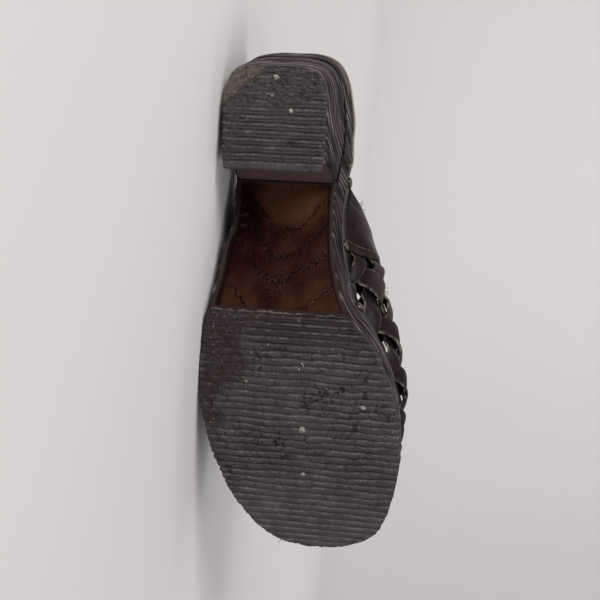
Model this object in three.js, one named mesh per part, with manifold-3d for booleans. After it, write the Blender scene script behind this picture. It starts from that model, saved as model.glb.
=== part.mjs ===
import * as THREE from 'three';
import { mergeVertices } from 'three/addons/utils/BufferGeometryUtils.js';
import Module from 'manifold-3d';

// Left platform mule lying on its outer side, sizes in millimetres
// Shoe frame: x to the toe, y to the outer side of the foot, z up from the walking plane
const TOE_SPRING = 14.3;
const SPRING_START = 150;
const LENGTH = 253.2;
const HEEL_MIDDLE = 3;
const TOE_MIDDLE = -18.5;
const HEEL_FLARE = 0.078;
const FOREFOOT_FLARE = 0.03;
const GAP = 0.3;
const FIT = 0.5;

// Rubber tread and heel lift
const RIB_PITCH = 3.68;
const RIB_DEPTH = 0.9;
const RIB_LAND = 0.62;
const TREAD_THICK = 4;
const TREAD_BACK = 124;
const LIFT_THICK = 6;
const LIFT_FRONT = 52.7;
const LIFT_SMOOTH = 19;
const WEAR_SLOPE = 0.6;

// Heel block and its coved breast
const BLOCK_TOP = 49.7;
const BREAST_FOOT = 50;
const BREAST_REACH = 14;

// Platform wall, rebate for the upper, rims of the shank
const REBATE_HEIGHT = 9;
const REBATE_DEPTH = 4.6;
const REBATE_START = 56;
const SEAT_LINE = 0.4;
const RIDGE_DEPTH = 0.6;
const RIDGE_COUNT = 3;
const RIM_WIDTH = 2.6;
const RECESS_DEPTH = 2;
const RECESS_START = 66;
// Outline rows at both ends of the steps where the rebate, the recess and the tread begin
const STEP_ROWS = [5.42, 5.57, 6.1, 6.2, 9.1, 9.16];

// Woven upper
const STRAP = 10;
const PITCH = 15.5;
const WALL = 1.6;
const RAISED = 3;
const EDGE_DIP = 0.4;
const FAN_START = 188;
const SWELL_START = 1.6;
const CROWN = 0.9;
const COLLAR_TOP = 116;
const COLLAR_REAR = 60;
const COLLAR_BEND = 1.5;
const EDGE_MARGIN = 14.5;
const COLLAR_MARGIN = 24;

// Collar band, rand, insole, tacks
const BAND_END = 0.86;
const RAND_THICK = 1.5;
const RAND_TOP = 1.1;
const RAND_REAR = 57;
const INSOLE_THICK = 3;
const TACK_RADIUS = 3.1;
const TACK_RISE = 1.4;
const TACK_DROP = 4;

// Slope of the floor under the shoe as it lies, along x and along z
const FLOOR_PER_X = 0.0689;
const FLOOR_PER_Z = 0.0564;

// Plan outline on the ground, one row per section from heel back to toe tip, inner and outer side
const OUTLINE = [
  { inX: 3.0, inY: HEEL_MIDDLE, outX: 3.0, outY: HEEL_MIDDLE },
  { inX: 3.2, inY: -7.5, outX: 3.2, outY: 13.5 },
  { inX: 6.0, inY: -17.6, outX: 6.0, outY: 23.6 },
  { inX: 13, inY: -21.2, outX: 13, outY: 27.3 },
  { inX: 27, inY: -21.9, outX: 27, outY: 28.3 },
  { inX: 46, inY: -21.4, outX: 46, outY: 28.0 },
  { inX: 64, inY: -18.6, outX: 64, outY: 26.6 },
  { inX: 84, inY: -20.8, outX: 84, outY: 28.8 },
  { inX: 104, inY: -25.8, outX: 104, outY: 32.6 },
  { inX: 122, inY: -35.2, outX: 122, outY: 35.2 },
  { inX: 136, inY: -48.2, outX: 138, outY: 37.6 },
  { inX: 152, inY: -57.2, outX: 156, outY: 38.8 },
  { inX: 172, inY: -63.0, outX: 176, outY: 37.7 },
  { inX: 194, inY: -64.8, outX: 196, outY: 33.4 },
  { inX: 214, inY: -63.2, outX: 215, outY: 27.0 },
  { inX: 231, inY: -58.3, outX: 231, outY: 18.2 },
  { inX: 243.5, inY: -50.2, outX: 243.5, outY: 7.8 },
  { inX: 250.8, inY: -37.0, outX: 250.5, outY: -3.0 },
  { inX: LENGTH, inY: TOE_MIDDLE, outX: LENGTH, outY: TOE_MIDDLE },
];

// Platform in side view: underside of the shank and top under the foot
const UNDER = [
  { x: 0, z: 50 },
  { x: 40, z: 50 },
  { x: 60, z: 50 },
  { x: 64, z: 50 },
  { x: 90, z: 33 },
  { x: 111, z: 17.5 },
  { x: 124, z: 4.3 },
];
const TOP = [
  { x: 0, z: 78 },
  { x: 30, z: 77.5 },
  { x: 55, z: 76.5 },
  { x: 75, z: 72.5 },
  { x: 100, z: 61 },
  { x: 112, z: 52.5 },
  { x: 124, z: 43 },
  { x: 136, z: 35.8 },
  { x: 150, z: 31 },
  { x: 165, z: 29.3 },
  { x: 180, z: 29.5 },
  { x: 200, z: 31 },
  { x: 225, z: 35 },
  { x: 254, z: 40.5 },
];

// Last from above the heel breast to the toe box: ridge, and how far and how high the sides swell
const LAST = [
  { x: 50, y: 4, z: 160, inSwell: 1.5, outSwell: 1.5, swellUp: 14 },
  { x: 80, y: 3, z: 142, inSwell: 6.5, outSwell: 3, swellUp: 18 },
  { x: 100, y: 0, z: 125, inSwell: 10.5, outSwell: 4.5, swellUp: 24 },
  { x: 116, y: -4, z: 110, inSwell: 11.5, outSwell: 5, swellUp: 26 },
  { x: 135, y: -8, z: 95, inSwell: 7.5, outSwell: 4.5, swellUp: 20 },
  { x: 152, y: -12, z: 85, inSwell: 3, outSwell: 3.2, swellUp: 14 },
  { x: 170, y: -16, z: 78, inSwell: 1.4, outSwell: 2, swellUp: 12 },
  { x: 188, y: -19, z: 75, inSwell: 1.1, outSwell: 1.5, swellUp: 12 },
];

// Fold of the collar band: step in from the collar edge, and height off the last
const BAND_FOLD = [
  { inward: 17, off: 2.4 },
  { inward: 17, off: 3.5 },
  { inward: 1, off: 3.9 },
  { inward: -2.2, off: 2.6 },
  { inward: -2.2, off: -0.5 },
  { inward: 1, off: -1.8 },
  { inward: 8, off: -1.7 },
  { inward: 8, off: -0.6 },
  { inward: -0.6, off: -0.6 },
  { inward: -0.6, off: 2.4 },
];

// Finishes
const FINISH = {
  platform: { color: 0x3a3231, roughness: 0.6 },
  block: { color: 0x352d2d, roughness: 0.6 },
  rubber: { color: 0x48444a, roughness: 0.85 },
  leather: { color: 0x241a1b, roughness: 0.48 },
  band: { color: 0x2b1d1e, roughness: 0.45 },
  sock: { color: 0x9a7f5f, roughness: 0.75 },
  tack: { color: 0x3d372f, roughness: 0.35 },
};

const wasm = await Module();
wasm.setup();

const vec = (x, y, z = 0) => new THREE.Vector3(x, y, z);
const ease = (value, from, to) => THREE.MathUtils.smoothstep(value, from, to);

function follow(rows, x, key) {
  const last = rows.length - 1;
  const at = THREE.MathUtils.clamp(x, rows[0].x, rows[last].x);
  let i = 0;
  while (i < last - 1 && at > rows[i + 1].x) {
    i += 1;
  }
  const slope = (j) => {
    const before = rows[Math.max(j - 1, 0)];
    const after = rows[Math.min(j + 1, last)];
    return (after[key] - before[key]) / (after.x - before.x);
  };
  const run = rows[i + 1].x - rows[i].x;
  const t = (at - rows[i].x) / run;
  const rise = rows[i][key] * (1 + 2 * t) * (1 - t) ** 2;
  const fall = rows[i + 1][key] * (3 - 2 * t) * t ** 2;
  return rise + fall + run * t * (1 - t) * (slope(i) * (1 - t) - slope(i + 1) * t);
}

// Heights along the shoe
const ground = (x) => TOE_SPRING * (Math.max(x - SPRING_START, 0) / (LENGTH - SPRING_START)) ** 2;
const top = (x) => follow(TOP, x, 'z');
const ledge = (x) => top(x) - REBATE_HEIGHT;
const under = (x) => (x < TREAD_BACK ? follow(UNDER, x, 'z') : ground(x) + TREAD_THICK + GAP);
const flare = (x) => THREE.MathUtils.lerp(HEEL_FLARE, FOREFOOT_FLARE, ease(x, 60, 150));
const rebated = (x) => ease(x, REBATE_START - 2, REBATE_START);
const rebate = (x) => THREE.MathUtils.lerp(SEAT_LINE, REBATE_DEPTH, rebated(x));
const rebateWall = (x) => flare(x) * ledge(x) - rebate(x);

// Outline loop: heel back, inner side, toe tip, outer side
const ROWS = OUTLINE.length - 1;
const inner = OUTLINE.map((row) => vec(row.inX, row.inY));
const outer = OUTLINE.slice(1, ROWS).reverse().map((row) => vec(row.outX, row.outY));
const loop = new THREE.CatmullRomCurve3([...inner, ...outer], true, 'centripetal');

function edge(u) {
  const wrapped = ((u % 1) + 1) % 1;
  const at = loop.getPoint(wrapped);
  const step = loop.getPoint((wrapped + 0.0005) % 1).sub(loop.getPoint((wrapped + 0.9995) % 1)).normalize();
  return { x: at.x, y: at.y, nx: step.y, ny: -step.x };
}

// Point beside the outline at a height that is a number or follows x
function shifted(u, offset, height) {
  const at = edge(u);
  const x = at.x + at.nx * offset;
  const z = typeof height === 'number' ? height : height(x);
  return vec(x, at.y + at.ny * offset, z);
}

const innerU = (row) => row / (2 * ROWS);
const outerU = (row) => 1 - row / (2 * ROWS);

function sampleLoop(count, offsetAt) {
  return Array.from({ length: count }, (_, i) => {
    const at = edge(i / count);
    const offset = offsetAt(at.x);
    return vec(at.x + at.nx * offset, at.y + at.ny * offset);
  });
}

const groundLoop = sampleLoop(720, () => 0);
const rebateLoop = sampleLoop(720, rebateWall);

// Distance from a plan point along a direction to a closed loop
function reachTo(points, base, dir) {
  let reach = 0;
  for (let i = 0; i < points.length; i += 1) {
    const a = points[i];
    const b = points[(i + 1) % points.length];
    const sideA = dir.x * (a.y - base.y) - dir.y * (a.x - base.x);
    const sideB = dir.x * (b.y - base.y) - dir.y * (b.x - base.x);
    if (sideA * sideB <= 0 && sideA !== sideB) {
      const t = sideA / (sideA - sideB);
      const along = dir.x * (a.x + (b.x - a.x) * t - base.x) + dir.y * (a.y + (b.y - a.y) * t - base.y);
      reach = Math.max(reach, along);
    }
  }
  return reach;
}

function chord(x) {
  const middle = vec(x, x > SPRING_START ? TOE_MIDDLE : HEEL_MIDDLE);
  return {
    inY: middle.y - reachTo(groundLoop, middle, vec(0, -1)),
    outY: middle.y + reachTo(groundLoop, middle, vec(0, 1)),
  };
}

// Position of a station of the loop by its x on one side
function stationAt(x, side) {
  let low = 0.05;
  let high = 0.48;
  for (let i = 0; i < 40; i += 1) {
    const mid = (low + high) / 2;
    if (edge(side > 0 ? 1 - mid : mid).x < x) {
      low = mid;
    } else {
      high = mid;
    }
  }
  return side > 0 ? 1 - low : low;
}

// Faces of one piece
class Faces {
  constructor() {
    this.points = [];
    this.index = [];
  }

  add(point) {
    this.points.push(point.x, point.y, point.z);
    return this.points.length / 3 - 1;
  }

  triangle(a, b, c) {
    if (a !== b && b !== c && c !== a) {
      this.index.push(a, b, c);
    }
  }

  quad(a, b, c, d) {
    this.triangle(a, b, c);
    this.triangle(a, c, d);
  }

  geometry() {
    const made = new THREE.BufferGeometry();
    made.setAttribute('position', new THREE.Float32BufferAttribute(this.points, 3));
    made.setIndex(this.index);
    return made;
  }
}

function toSolid(geometry) {
  const bare = geometry.clone();
  bare.deleteAttribute('normal');
  bare.deleteAttribute('uv');
  const merged = mergeVertices(bare, 1e-5);
  return new wasm.Manifold(new wasm.Mesh({
    numProp: 3,
    vertProperties: new Float32Array(merged.attributes.position.array),
    triVerts: new Uint32Array(merged.index.array),
  }));
}

function toGeometry(solid) {
  const mesh = solid.getMesh();
  const made = new THREE.BufferGeometry();
  made.setAttribute('position', new THREE.BufferAttribute(new Float32Array(mesh.vertProperties), 3));
  made.setIndex(new THREE.BufferAttribute(new Uint32Array(mesh.triVerts), 1));
  return made;
}

// Rings stacked from bottom to top, each running round the shoe anticlockwise seen from above;
// pairs counts the stations from heel to toe, and cross gives the points between two facing stations
function stackRings(rings, pairs, cross) {
  const faces = new Faces();
  const count = rings[0].length;
  const ids = rings.map((ring) => ring.map((point) => faces.add(point)));
  for (let k = 0; k + 1 < ids.length; k += 1) {
    for (let i = 0; i < count; i += 1) {
      const j = (i + 1) % count;
      faces.quad(ids[k][i], ids[k][j], ids[k + 1][j], ids[k + 1][i]);
    }
  }
  const closeWith = (ring, id, level, up) => {
    const rows = [];
    for (let i = 0; i <= pairs; i += 1) {
      const far = (count - i) % count;
      const between = far === i ? [] : cross(ring[i], ring[far], level);
      rows.push([id[i], ...between.map((point) => faces.add(point)), id[far]]);
    }
    for (let i = 0; i < pairs; i += 1) {
      const width = Math.max(rows[i].length, rows[i + 1].length) - 1;
      const pick = (row, k) => (row.length === 2 && width > 1 ? row[k < width ? 0 : 1] : row[k]);
      for (let k = 0; k < width; k += 1) {
        const a = pick(rows[i], k);
        const b = pick(rows[i + 1], k);
        const c = pick(rows[i + 1], k + 1);
        const d = pick(rows[i], k + 1);
        if (up) {
          faces.quad(a, b, c, d);
        } else {
          faces.quad(a, d, c, b);
        }
      }
    }
  };
  closeWith(rings[0], ids[0], 0, false);
  closeWith(rings[rings.length - 1], ids[rings.length - 1], 1, true);
  return faces.geometry();
}

// Stations from heel to toe given as outline rows, inner side out and outer side back
function around(rows) {
  const back = rows.slice(1, -1).reverse();
  return [...rows.map(innerU), ...back.map(outerU)];
}

const acrossBy = (shares) => (a, b) => shares.map((share) => a.clone().lerp(b, share));

// Platform: rebated wall with grain ridges, recessed shank between two rims
function platform() {
  const even = Array.from({ length: 2 * ROWS + 1 }, (_, i) => i / 2);
  const rows = [...even, ...STEP_ROWS].sort((a, b) => a - b);
  const stations = around(rows);
  const rings = [];
  const levels = 2 * RIDGE_COUNT;
  for (let k = 0; k <= levels; k += 1) {
    rings.push(stations.map((u) => {
      const x = edge(u).x;
      const height = (at) => THREE.MathUtils.lerp(under(at), ledge(at), k / levels);
      return shifted(u, flare(x) * height(x) - (k % 2) * RIDGE_DEPTH, height);
    }));
  }
  rings.push(stations.map((u) => shifted(u, rebateWall(edge(u).x), ledge)));
  rings.push(stations.map((u) => shifted(u, rebateWall(edge(u).x), top)));
  const cross = (a, b, level) => {
    const x = (a.x + b.x) / 2;
    const width = a.distanceTo(b);
    const rim = Math.min(RIM_WIDTH / width, 0.2);
    const sunk = level === 0 && x > RECESS_START && x < TREAD_BACK - 1 ? RECESS_DEPTH : 0;
    const shares = [rim, rim * 1.25, 0.5, 1 - rim * 1.25, 1 - rim];
    return shares.map((share, i) => {
      const point = a.clone().lerp(b, share);
      point.z += i > 0 && i < 4 ? sunk : 0;
      return point;
    });
  };
  return stackRings(rings, rows.length - 1, cross);
}

// Heel block: grained walls, breast swept forward under the shank
function heelBlock() {
  const wallRows = [0, 0.5, 1, 1.5, 2, 2.5, 3, 4];
  const frontSteps = 3;
  const base = LIFT_THICK + GAP;
  const levels = 10;
  const rings = [];
  for (let k = 0; k <= levels; k += 1) {
    const z = THREE.MathUtils.lerp(base, BLOCK_TOP, k / levels);
    const front = BREAST_FOOT + BREAST_REACH * ((z - base) / (BLOCK_TOP - base)) ** 2.2;
    const dent = (k % 2) * RIDGE_DEPTH;
    const side = (sign) => {
      const wall = wallRows.map((row) => {
        const u = sign > 0 ? outerU(row) : innerU(row);
        return shifted(u, flare(edge(u).x) * z - dent, z);
      });
      for (let i = 1; i <= frontSteps; i += 1) {
        const x = THREE.MathUtils.lerp(27, front, i / frontSteps);
        wall.push(shifted(stationAt(x, sign), flare(x) * z - dent, z));
      }
      return wall;
    };
    rings.push([...side(-1), ...side(1).slice(1).reverse()]);
  }
  return stackRings(rings, wallRows.length + frontSteps - 1, () => []);
}

// Ribbed rubber sheet between two x, flat on top, ribs across underneath
function ribbed(stations, upper) {
  const faces = new Faces();
  const rows = stations.map(({ x, z }) => {
    const { inY, outY } = chord(x);
    return [
      faces.add(vec(x, inY, z)),
      faces.add(vec(x, outY, z)),
      faces.add(vec(x, outY, upper(x))),
      faces.add(vec(x, inY, upper(x))),
    ];
  });
  for (let i = 0; i + 1 < rows.length; i += 1) {
    for (let k = 0; k < 4; k += 1) {
      const m = (k + 1) % 4;
      faces.quad(rows[i][k], rows[i][m], rows[i + 1][m], rows[i + 1][k]);
    }
  }
  const end = rows[rows.length - 1];
  faces.quad(rows[0][3], rows[0][2], rows[0][1], rows[0][0]);
  faces.quad(end[0], end[1], end[2], end[3]);
  return faces.geometry();
}

function ribStations(from, to, base) {
  const made = [];
  for (let x = from; x + RIB_PITCH <= to; x += RIB_PITCH) {
    const land = x + RIB_PITCH * RIB_LAND;
    made.push({ x, z: base(x) });
    made.push({ x: land, z: base(land) });
    const groove = (land + x + RIB_PITCH) / 2;
    made.push({ x: groove, z: base(groove) + RIB_DEPTH });
  }
  return made;
}

function forefootTread() {
  const toeEnd = LENGTH - 0.15;
  const ribs = ribStations(TREAD_BACK, toeEnd - 2, ground);
  const tail = [2.2, 1, 0.35, 0].map((short) => ({ x: toeEnd - short, z: ground(toeEnd - short) }));
  return ribbed([...ribs, ...tail], (x) => ground(x) + TREAD_THICK);
}

// Wedge worn off the outer back corner of the heel
function wornWedge() {
  const along = vec(0.626, 0.78, 0);
  const away = vec(-0.78, 0.626, 0);
  const normal = vec(-away.x * WEAR_SLOPE, -away.y * WEAR_SLOPE, 1).normalize();
  const frame = new THREE.Matrix4().makeBasis(along, normal.clone().cross(along), normal);
  const depth = 30;
  const centre = vec(12.3, 17.9, 0).addScaledVector(normal, -depth / 2);
  return new THREE.BoxGeometry(70, 70, depth).applyMatrix4(frame.setPosition(centre));
}

const worn = (geometry) => toGeometry(toSolid(geometry).subtract(toSolid(wornWedge())));

function heelLift() {
  const smooth = [3.05, 3.4, 4.2, 5.6, 7.6, 10.5, 14].map((x) => ({ x, z: 0 }));
  const ribs = ribStations(LIFT_SMOOTH, LIFT_FRONT, () => 0);
  const tail = [{ x: LIFT_FRONT - 0.9, z: 0 }, { x: LIFT_FRONT, z: 0 }];
  return worn(ribbed([...smooth, ...ribs, ...tail], () => LIFT_THICK));
}

function insole() {
  const rows = Array.from({ length: 37 }, (_, i) => i / 2);
  const stations = around(rows);
  const level = (rise, inset) => stations.map((u) => {
    const x = edge(u).x;
    return shifted(u, rebateWall(x) - inset, (at) => top(at) + rise);
  });
  const rings = [
    level(GAP, GAP),
    level(GAP + INSOLE_THICK * 0.6, GAP),
    level(GAP + INSOLE_THICK, GAP + 1.4),
  ];
  return stackRings(rings, rows.length - 1, acrossBy([0.5]));
}

// Last: a ray from the ridge to the feather edge, and the profile of the wall along it
function rayAt(flatX, flatY) {
  const sign = flatY < 0 ? -1 : 1;
  const fan = flatX > FAN_START;
  const x = Math.min(flatX, FAN_START);
  const base = vec(x, follow(LAST, x, 'y'), follow(LAST, x, 'z'));
  const dir = fan ? vec(flatX - FAN_START, flatY).normalize() : vec(0, sign);
  const reach = reachTo(rebateLoop, base, dir) + FIT;
  const foot = top(base.x + dir.x * reach);
  const outward = (dir.y + 1) / 2;
  const swell = THREE.MathUtils.lerp(follow(LAST, x, 'inSwell'), follow(LAST, x, 'outSwell'), outward);
  const swellUp = follow(LAST, x, 'swellUp');
  return { base, dir, reach, foot, swell, swellUp, height: base.z - foot };
}

const PROFILE_STEPS = 56;

function profileOf(ray) {
  const points = [];
  for (let i = 0; i <= PROFILE_STEPS; i += 1) {
    const turn = (Math.PI / 2) * (1 - i / PROFILE_STEPS);
    const out = (ray.reach + ray.swell) * Math.cos(turn) ** CROWN;
    points.push({ out, up: ray.swellUp + (ray.height - ray.swellUp) * Math.sin(turn) ** CROWN });
  }
  for (let i = 1; i <= 8; i += 1) {
    const up = THREE.MathUtils.lerp(ray.swellUp, SWELL_START, i / 8);
    points.push({ out: ray.reach + ray.swell * ease(up, SWELL_START, ray.swellUp), up });
  }
  points.push({ out: ray.reach, up: 2 * FIT - REBATE_HEIGHT });
  let run = 0;
  points.forEach((point, i) => {
    run += i > 0 ? Math.hypot(point.out - points[i - 1].out, point.up - points[i - 1].up) : 0;
    point.run = run;
  });
  return points;
}

const runOf = (flatX, flatY) => profileOf(rayAt(flatX, flatY)).at(-1).run;

function onLast(flatX, flatY) {
  const ray = rayAt(flatX, flatY);
  const points = profileOf(ray);
  const far = flatX > FAN_START ? Math.hypot(flatX - FAN_START, flatY) : Math.abs(flatY);
  let i = 1;
  while (i < points.length - 1 && points[i].run < far) {
    i += 1;
  }
  const t = (far - points[i - 1].run) / (points[i].run - points[i - 1].run);
  const out = THREE.MathUtils.lerp(points[i - 1].out, points[i].out, t);
  const up = THREE.MathUtils.lerp(points[i - 1].up, points[i].up, t);
  return vec(ray.base.x + ray.dir.x * out, ray.base.y + ray.dir.y * out, ray.foot + up);
}

function offLast(flatX, flatY, off) {
  const step = 0.8;
  const alongX = onLast(flatX + step, flatY).sub(onLast(flatX - step, flatY));
  const alongY = onLast(flatX, flatY + step).sub(onLast(flatX, flatY - step));
  return onLast(flatX, flatY).addScaledVector(alongX.cross(alongY).normalize(), off);
}

// Collar edge as a share of the way from the ridge down to the rebate
const collarX = (share) => COLLAR_TOP - (COLLAR_TOP - COLLAR_REAR) * Math.abs(share) ** COLLAR_BEND;

function distances(flatX, flatY) {
  const far = flatX > FAN_START ? Math.hypot(flatX - FAN_START, flatY) : Math.abs(flatY);
  const run = runOf(flatX, flatY);
  const behind = flatX > FAN_START ? 99 : flatX - collarX(Math.min(far / run, 1));
  return { toEdge: run - far, toCollar: behind };
}

// Flat cutting pattern of the vamp
function pattern() {
  const shape = new THREE.Shape();
  const corners = [];
  const straight = 34;
  for (let i = 0; i <= straight; i += 1) {
    const x = THREE.MathUtils.lerp(COLLAR_REAR, FAN_START, i / straight);
    corners.push([x, -runOf(x, -1)]);
  }
  const turns = 36;
  for (let i = 1; i < turns; i += 1) {
    const angle = (i / turns - 0.5) * Math.PI;
    const dir = [Math.cos(angle), Math.sin(angle)];
    const run = runOf(FAN_START + dir[0], dir[1]);
    corners.push([FAN_START + dir[0] * run, dir[1] * run]);
  }
  for (let i = straight; i >= 0; i -= 1) {
    const x = THREE.MathUtils.lerp(COLLAR_REAR, FAN_START, i / straight);
    corners.push([x, runOf(x, 1)]);
  }
  const sweep = 48;
  for (let i = 1; i < sweep; i += 1) {
    const share = 1 - (2 * i) / sweep;
    const x = collarX(share);
    corners.push([x, share * runOf(x, share)]);
  }
  corners.forEach(([x, y], i) => (i === 0 ? shape.moveTo(x, y) : shape.lineTo(x, y)));
  const plate = new THREE.ExtrudeGeometry(shape, { depth: 3, bevelEnabled: false });
  return plate.translate(0, 0, -1);
}

// Weave laid flat on the bias: strap edges and centres are the lines, the squares between are gaps
const LINE_SHIFT = [-STRAP / 2, 0, STRAP / 2];
const lineAt = (m) => Math.floor(m / 3) * PITCH + LINE_SHIFT[((m % 3) + 3) % 3];
const weaveToFlat = (a, b) => [FAN_START + (a - b) * Math.SQRT1_2, (a + b) * Math.SQRT1_2];

function clearOfEdges(flatX, flatY) {
  if (flatX < COLLAR_REAR) {
    return false;
  }
  const { toEdge, toCollar } = distances(flatX, flatY);
  return toEdge > EDGE_MARGIN && toCollar > COLLAR_MARGIN;
}

function weaveSheet() {
  const faces = new Faces();
  const ids = new Map();
  const half = 36;
  const idAt = (m, n, layer) => {
    const key = `${m},${n},${layer}`;
    if (!ids.has(key)) {
      const [x, y] = weaveToFlat(lineAt(m), lineAt(n));
      ids.set(key, faces.add(vec(x, y, layer)));
    }
    return ids.get(key);
  };
  const filled = new Set();
  for (let m = -half; m < half; m += 1) {
    for (let n = -half; n < half; n += 1) {
      const a = (lineAt(m) + lineAt(m + 1)) / 2;
      const b = (lineAt(n) + lineAt(n + 1)) / 2;
      const [x, y] = weaveToFlat(a, b);
      const between = ((m % 3) + 3) % 3 === 2 && ((n % 3) + 3) % 3 === 2;
      if (!between || !clearOfEdges(x, y)) {
        filled.add(`${m},${n}`);
      }
    }
  }
  const sides = [
    [-1, 0, 0, 1, 0, 0],
    [1, 0, 1, 0, 1, 1],
    [0, -1, 0, 0, 1, 0],
    [0, 1, 1, 1, 0, 1],
  ];
  filled.forEach((key) => {
    const [m, n] = key.split(',').map(Number);
    faces.quad(idAt(m, n, 1), idAt(m + 1, n, 1), idAt(m + 1, n + 1, 1), idAt(m, n + 1, 1));
    faces.quad(idAt(m, n, 0), idAt(m, n + 1, 0), idAt(m + 1, n + 1, 0), idAt(m + 1, n, 0));
    sides.forEach(([dm, dn, fromM, fromN, toM, toN]) => {
      if (!filled.has(`${m + dm},${n + dn}`)) {
        const low = [idAt(m + fromM, n + fromN, 0), idAt(m + toM, n + toN, 0)];
        const high = [idAt(m + fromM, n + fromN, 1), idAt(m + toM, n + toN, 1)];
        faces.quad(low[0], low[1], high[1], high[0]);
      }
    });
  });
  return faces.geometry();
}

// Height of the straps over the last: the strap on top is raised along its centre line
function reliefAt(flatX, flatY) {
  const { toEdge, toCollar } = distances(flatX, flatY);
  const fromEdge = ease(toEdge, EDGE_MARGIN + 1, EDGE_MARGIN + 5);
  const fromCollar = ease(toCollar, COLLAR_MARGIN, COLLAR_MARGIN + 5);
  const a = ((flatX - FAN_START) + flatY) * Math.SQRT1_2;
  const b = (flatY - (flatX - FAN_START)) * Math.SQRT1_2;
  const i = Math.round(a / PITCH);
  const j = Math.round(b / PITCH);
  const crown = (d) => Math.max(1 - Math.abs(d) / (STRAP / 2), 0);
  const aOver = (i + j) % 2 === 0;
  const across = aOver ? b - j * PITCH : a - i * PITCH;
  const along = aOver ? a - i * PITCH : b - j * PITCH;
  const sink = 1 - 0.25 * (Math.abs(along) / (STRAP / 2)) ** 2;
  const rise = (RAISED - WALL + EDGE_DIP) * crown(across) * Math.max(sink, 0) - EDGE_DIP;
  return WALL + rise * fromEdge * fromCollar;
}

function wovenUpper() {
  const cut = toSolid(weaveSheet()).intersect(toSolid(pattern()));
  const whole = cut.decompose().sort((p, q) => q.volume() - p.volume())[0];
  const flat = toGeometry(whole);
  const position = flat.attributes.position;
  for (let i = 0; i < position.count; i += 1) {
    const x = position.getX(i);
    const y = position.getY(i);
    const off = position.getZ(i) > 0.5 ? reliefAt(x, y) : 0;
    const at = offLast(x, y, off);
    position.setXYZ(i, at.x, at.y, at.z);
  }
  return flat;
}

function collarBand() {
  const faces = new Faces();
  const steps = 42;
  const rows = [];
  for (let i = 0; i <= steps; i += 1) {
    const share = THREE.MathUtils.lerp(-BAND_END, BAND_END, i / steps);
    rows.push(BAND_FOLD.map(({ inward, off }) => {
      const x = collarX(share) + inward;
      const y = share * runOf(x, share || 1);
      return faces.add(offLast(x, y, off));
    }));
  }
  const count = BAND_FOLD.length;
  for (let i = 0; i < steps; i += 1) {
    for (let k = 0; k < count; k += 1) {
      const m = (k + 1) % count;
      faces.quad(rows[i][k], rows[i + 1][k], rows[i + 1][m], rows[i][m]);
    }
  }
  const profile = BAND_FOLD.map(({ inward, off }) => new THREE.Vector2(inward, off));
  THREE.ShapeUtils.triangulateShape(profile, []).forEach(([a, b, c]) => {
    faces.triangle(rows[0][a], rows[0][b], rows[0][c]);
    faces.triangle(rows[steps][c], rows[steps][b], rows[steps][a]);
  });
  return faces.geometry();
}

const randInside = (x) => rebateWall(x) + FIT + WALL + FIT;

function rand() {
  const faces = new Faces();
  const steps = 72;
  const from = stationAt(RAND_REAR, -1);
  const to = stationAt(RAND_REAR, 1);
  const rows = [];
  for (let i = 0; i <= steps; i += 1) {
    const u = THREE.MathUtils.lerp(from, to, i / steps);
    const inside = randInside(edge(u).x);
    const low = (at) => ledge(at) + GAP;
    const high = (at) => top(at) + RAND_TOP;
    rows.push([
      faces.add(shifted(u, inside, low)),
      faces.add(shifted(u, inside + RAND_THICK, low)),
      faces.add(shifted(u, inside + RAND_THICK, (at) => high(at) - 0.6)),
      faces.add(shifted(u, inside, high)),
    ]);
  }
  for (let i = 0; i < steps; i += 1) {
    for (let k = 0; k < 4; k += 1) {
      const m = (k + 1) % 4;
      faces.quad(rows[i][k], rows[i + 1][k], rows[i + 1][m], rows[i][m]);
    }
  }
  faces.quad(rows[0][0], rows[0][1], rows[0][2], rows[0][3]);
  faces.quad(rows[steps][3], rows[steps][2], rows[steps][1], rows[steps][0]);
  return faces.geometry();
}

function tackHead() {
  const dome = [0, 0.5, 1].map((t) => {
    const turn = (t * Math.PI) / 2;
    return new THREE.Vector2(TACK_RADIUS * Math.sin(turn), 0.4 + TACK_RISE * Math.cos(turn));
  });
  const rim = [new THREE.Vector2(TACK_RADIUS, 0), new THREE.Vector2(0, 0)];
  return new THREE.LatheGeometry([...dome, ...rim].reverse(), 10).rotateX(Math.PI / 2);
}

function placeTack(mesh, x, side) {
  const u = stationAt(x, side);
  const at = edge(u);
  const seat = shifted(u, randInside(at.x) + RAND_THICK + FIT, (x) => top(x) - TACK_DROP);
  mesh.position.copy(seat);
  mesh.quaternion.setFromUnitVectors(vec(0, 0, 1), vec(at.nx, at.ny, 0));
  return mesh;
}

function piece(name, geometry, finish) {
  geometry.computeVertexNormals();
  const material = new THREE.MeshStandardMaterial({ metalness: 0, ...finish });
  const mesh = new THREE.Mesh(geometry, material);
  mesh.name = name;
  return mesh;
}

const shoe = new THREE.Group();
shoe.name = 'shoe';
shoe.add(piece('sole_platform', platform(), FINISH.platform));
shoe.add(piece('heel_block', worn(heelBlock()), FINISH.block));
shoe.add(piece('heel_top_lift', heelLift(), FINISH.rubber));
shoe.add(piece('forefoot_tread', forefootTread(), FINISH.rubber));
shoe.add(piece('insole', insole(), FINISH.sock));
shoe.add(piece('upper', wovenUpper(), FINISH.leather));
shoe.add(piece('collar_band', collarBand(), FINISH.band));
shoe.add(piece('rand', rand(), FINISH.band));
[66, 99, 127].forEach((x, i) => {
  shoe.add(placeTack(piece(`tack_inner_${i + 1}`, tackHead(), FINISH.tack), x, -1));
  shoe.add(placeTack(piece(`tack_outer_${i + 1}`, tackHead(), FINISH.tack), x, 1));
});

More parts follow.
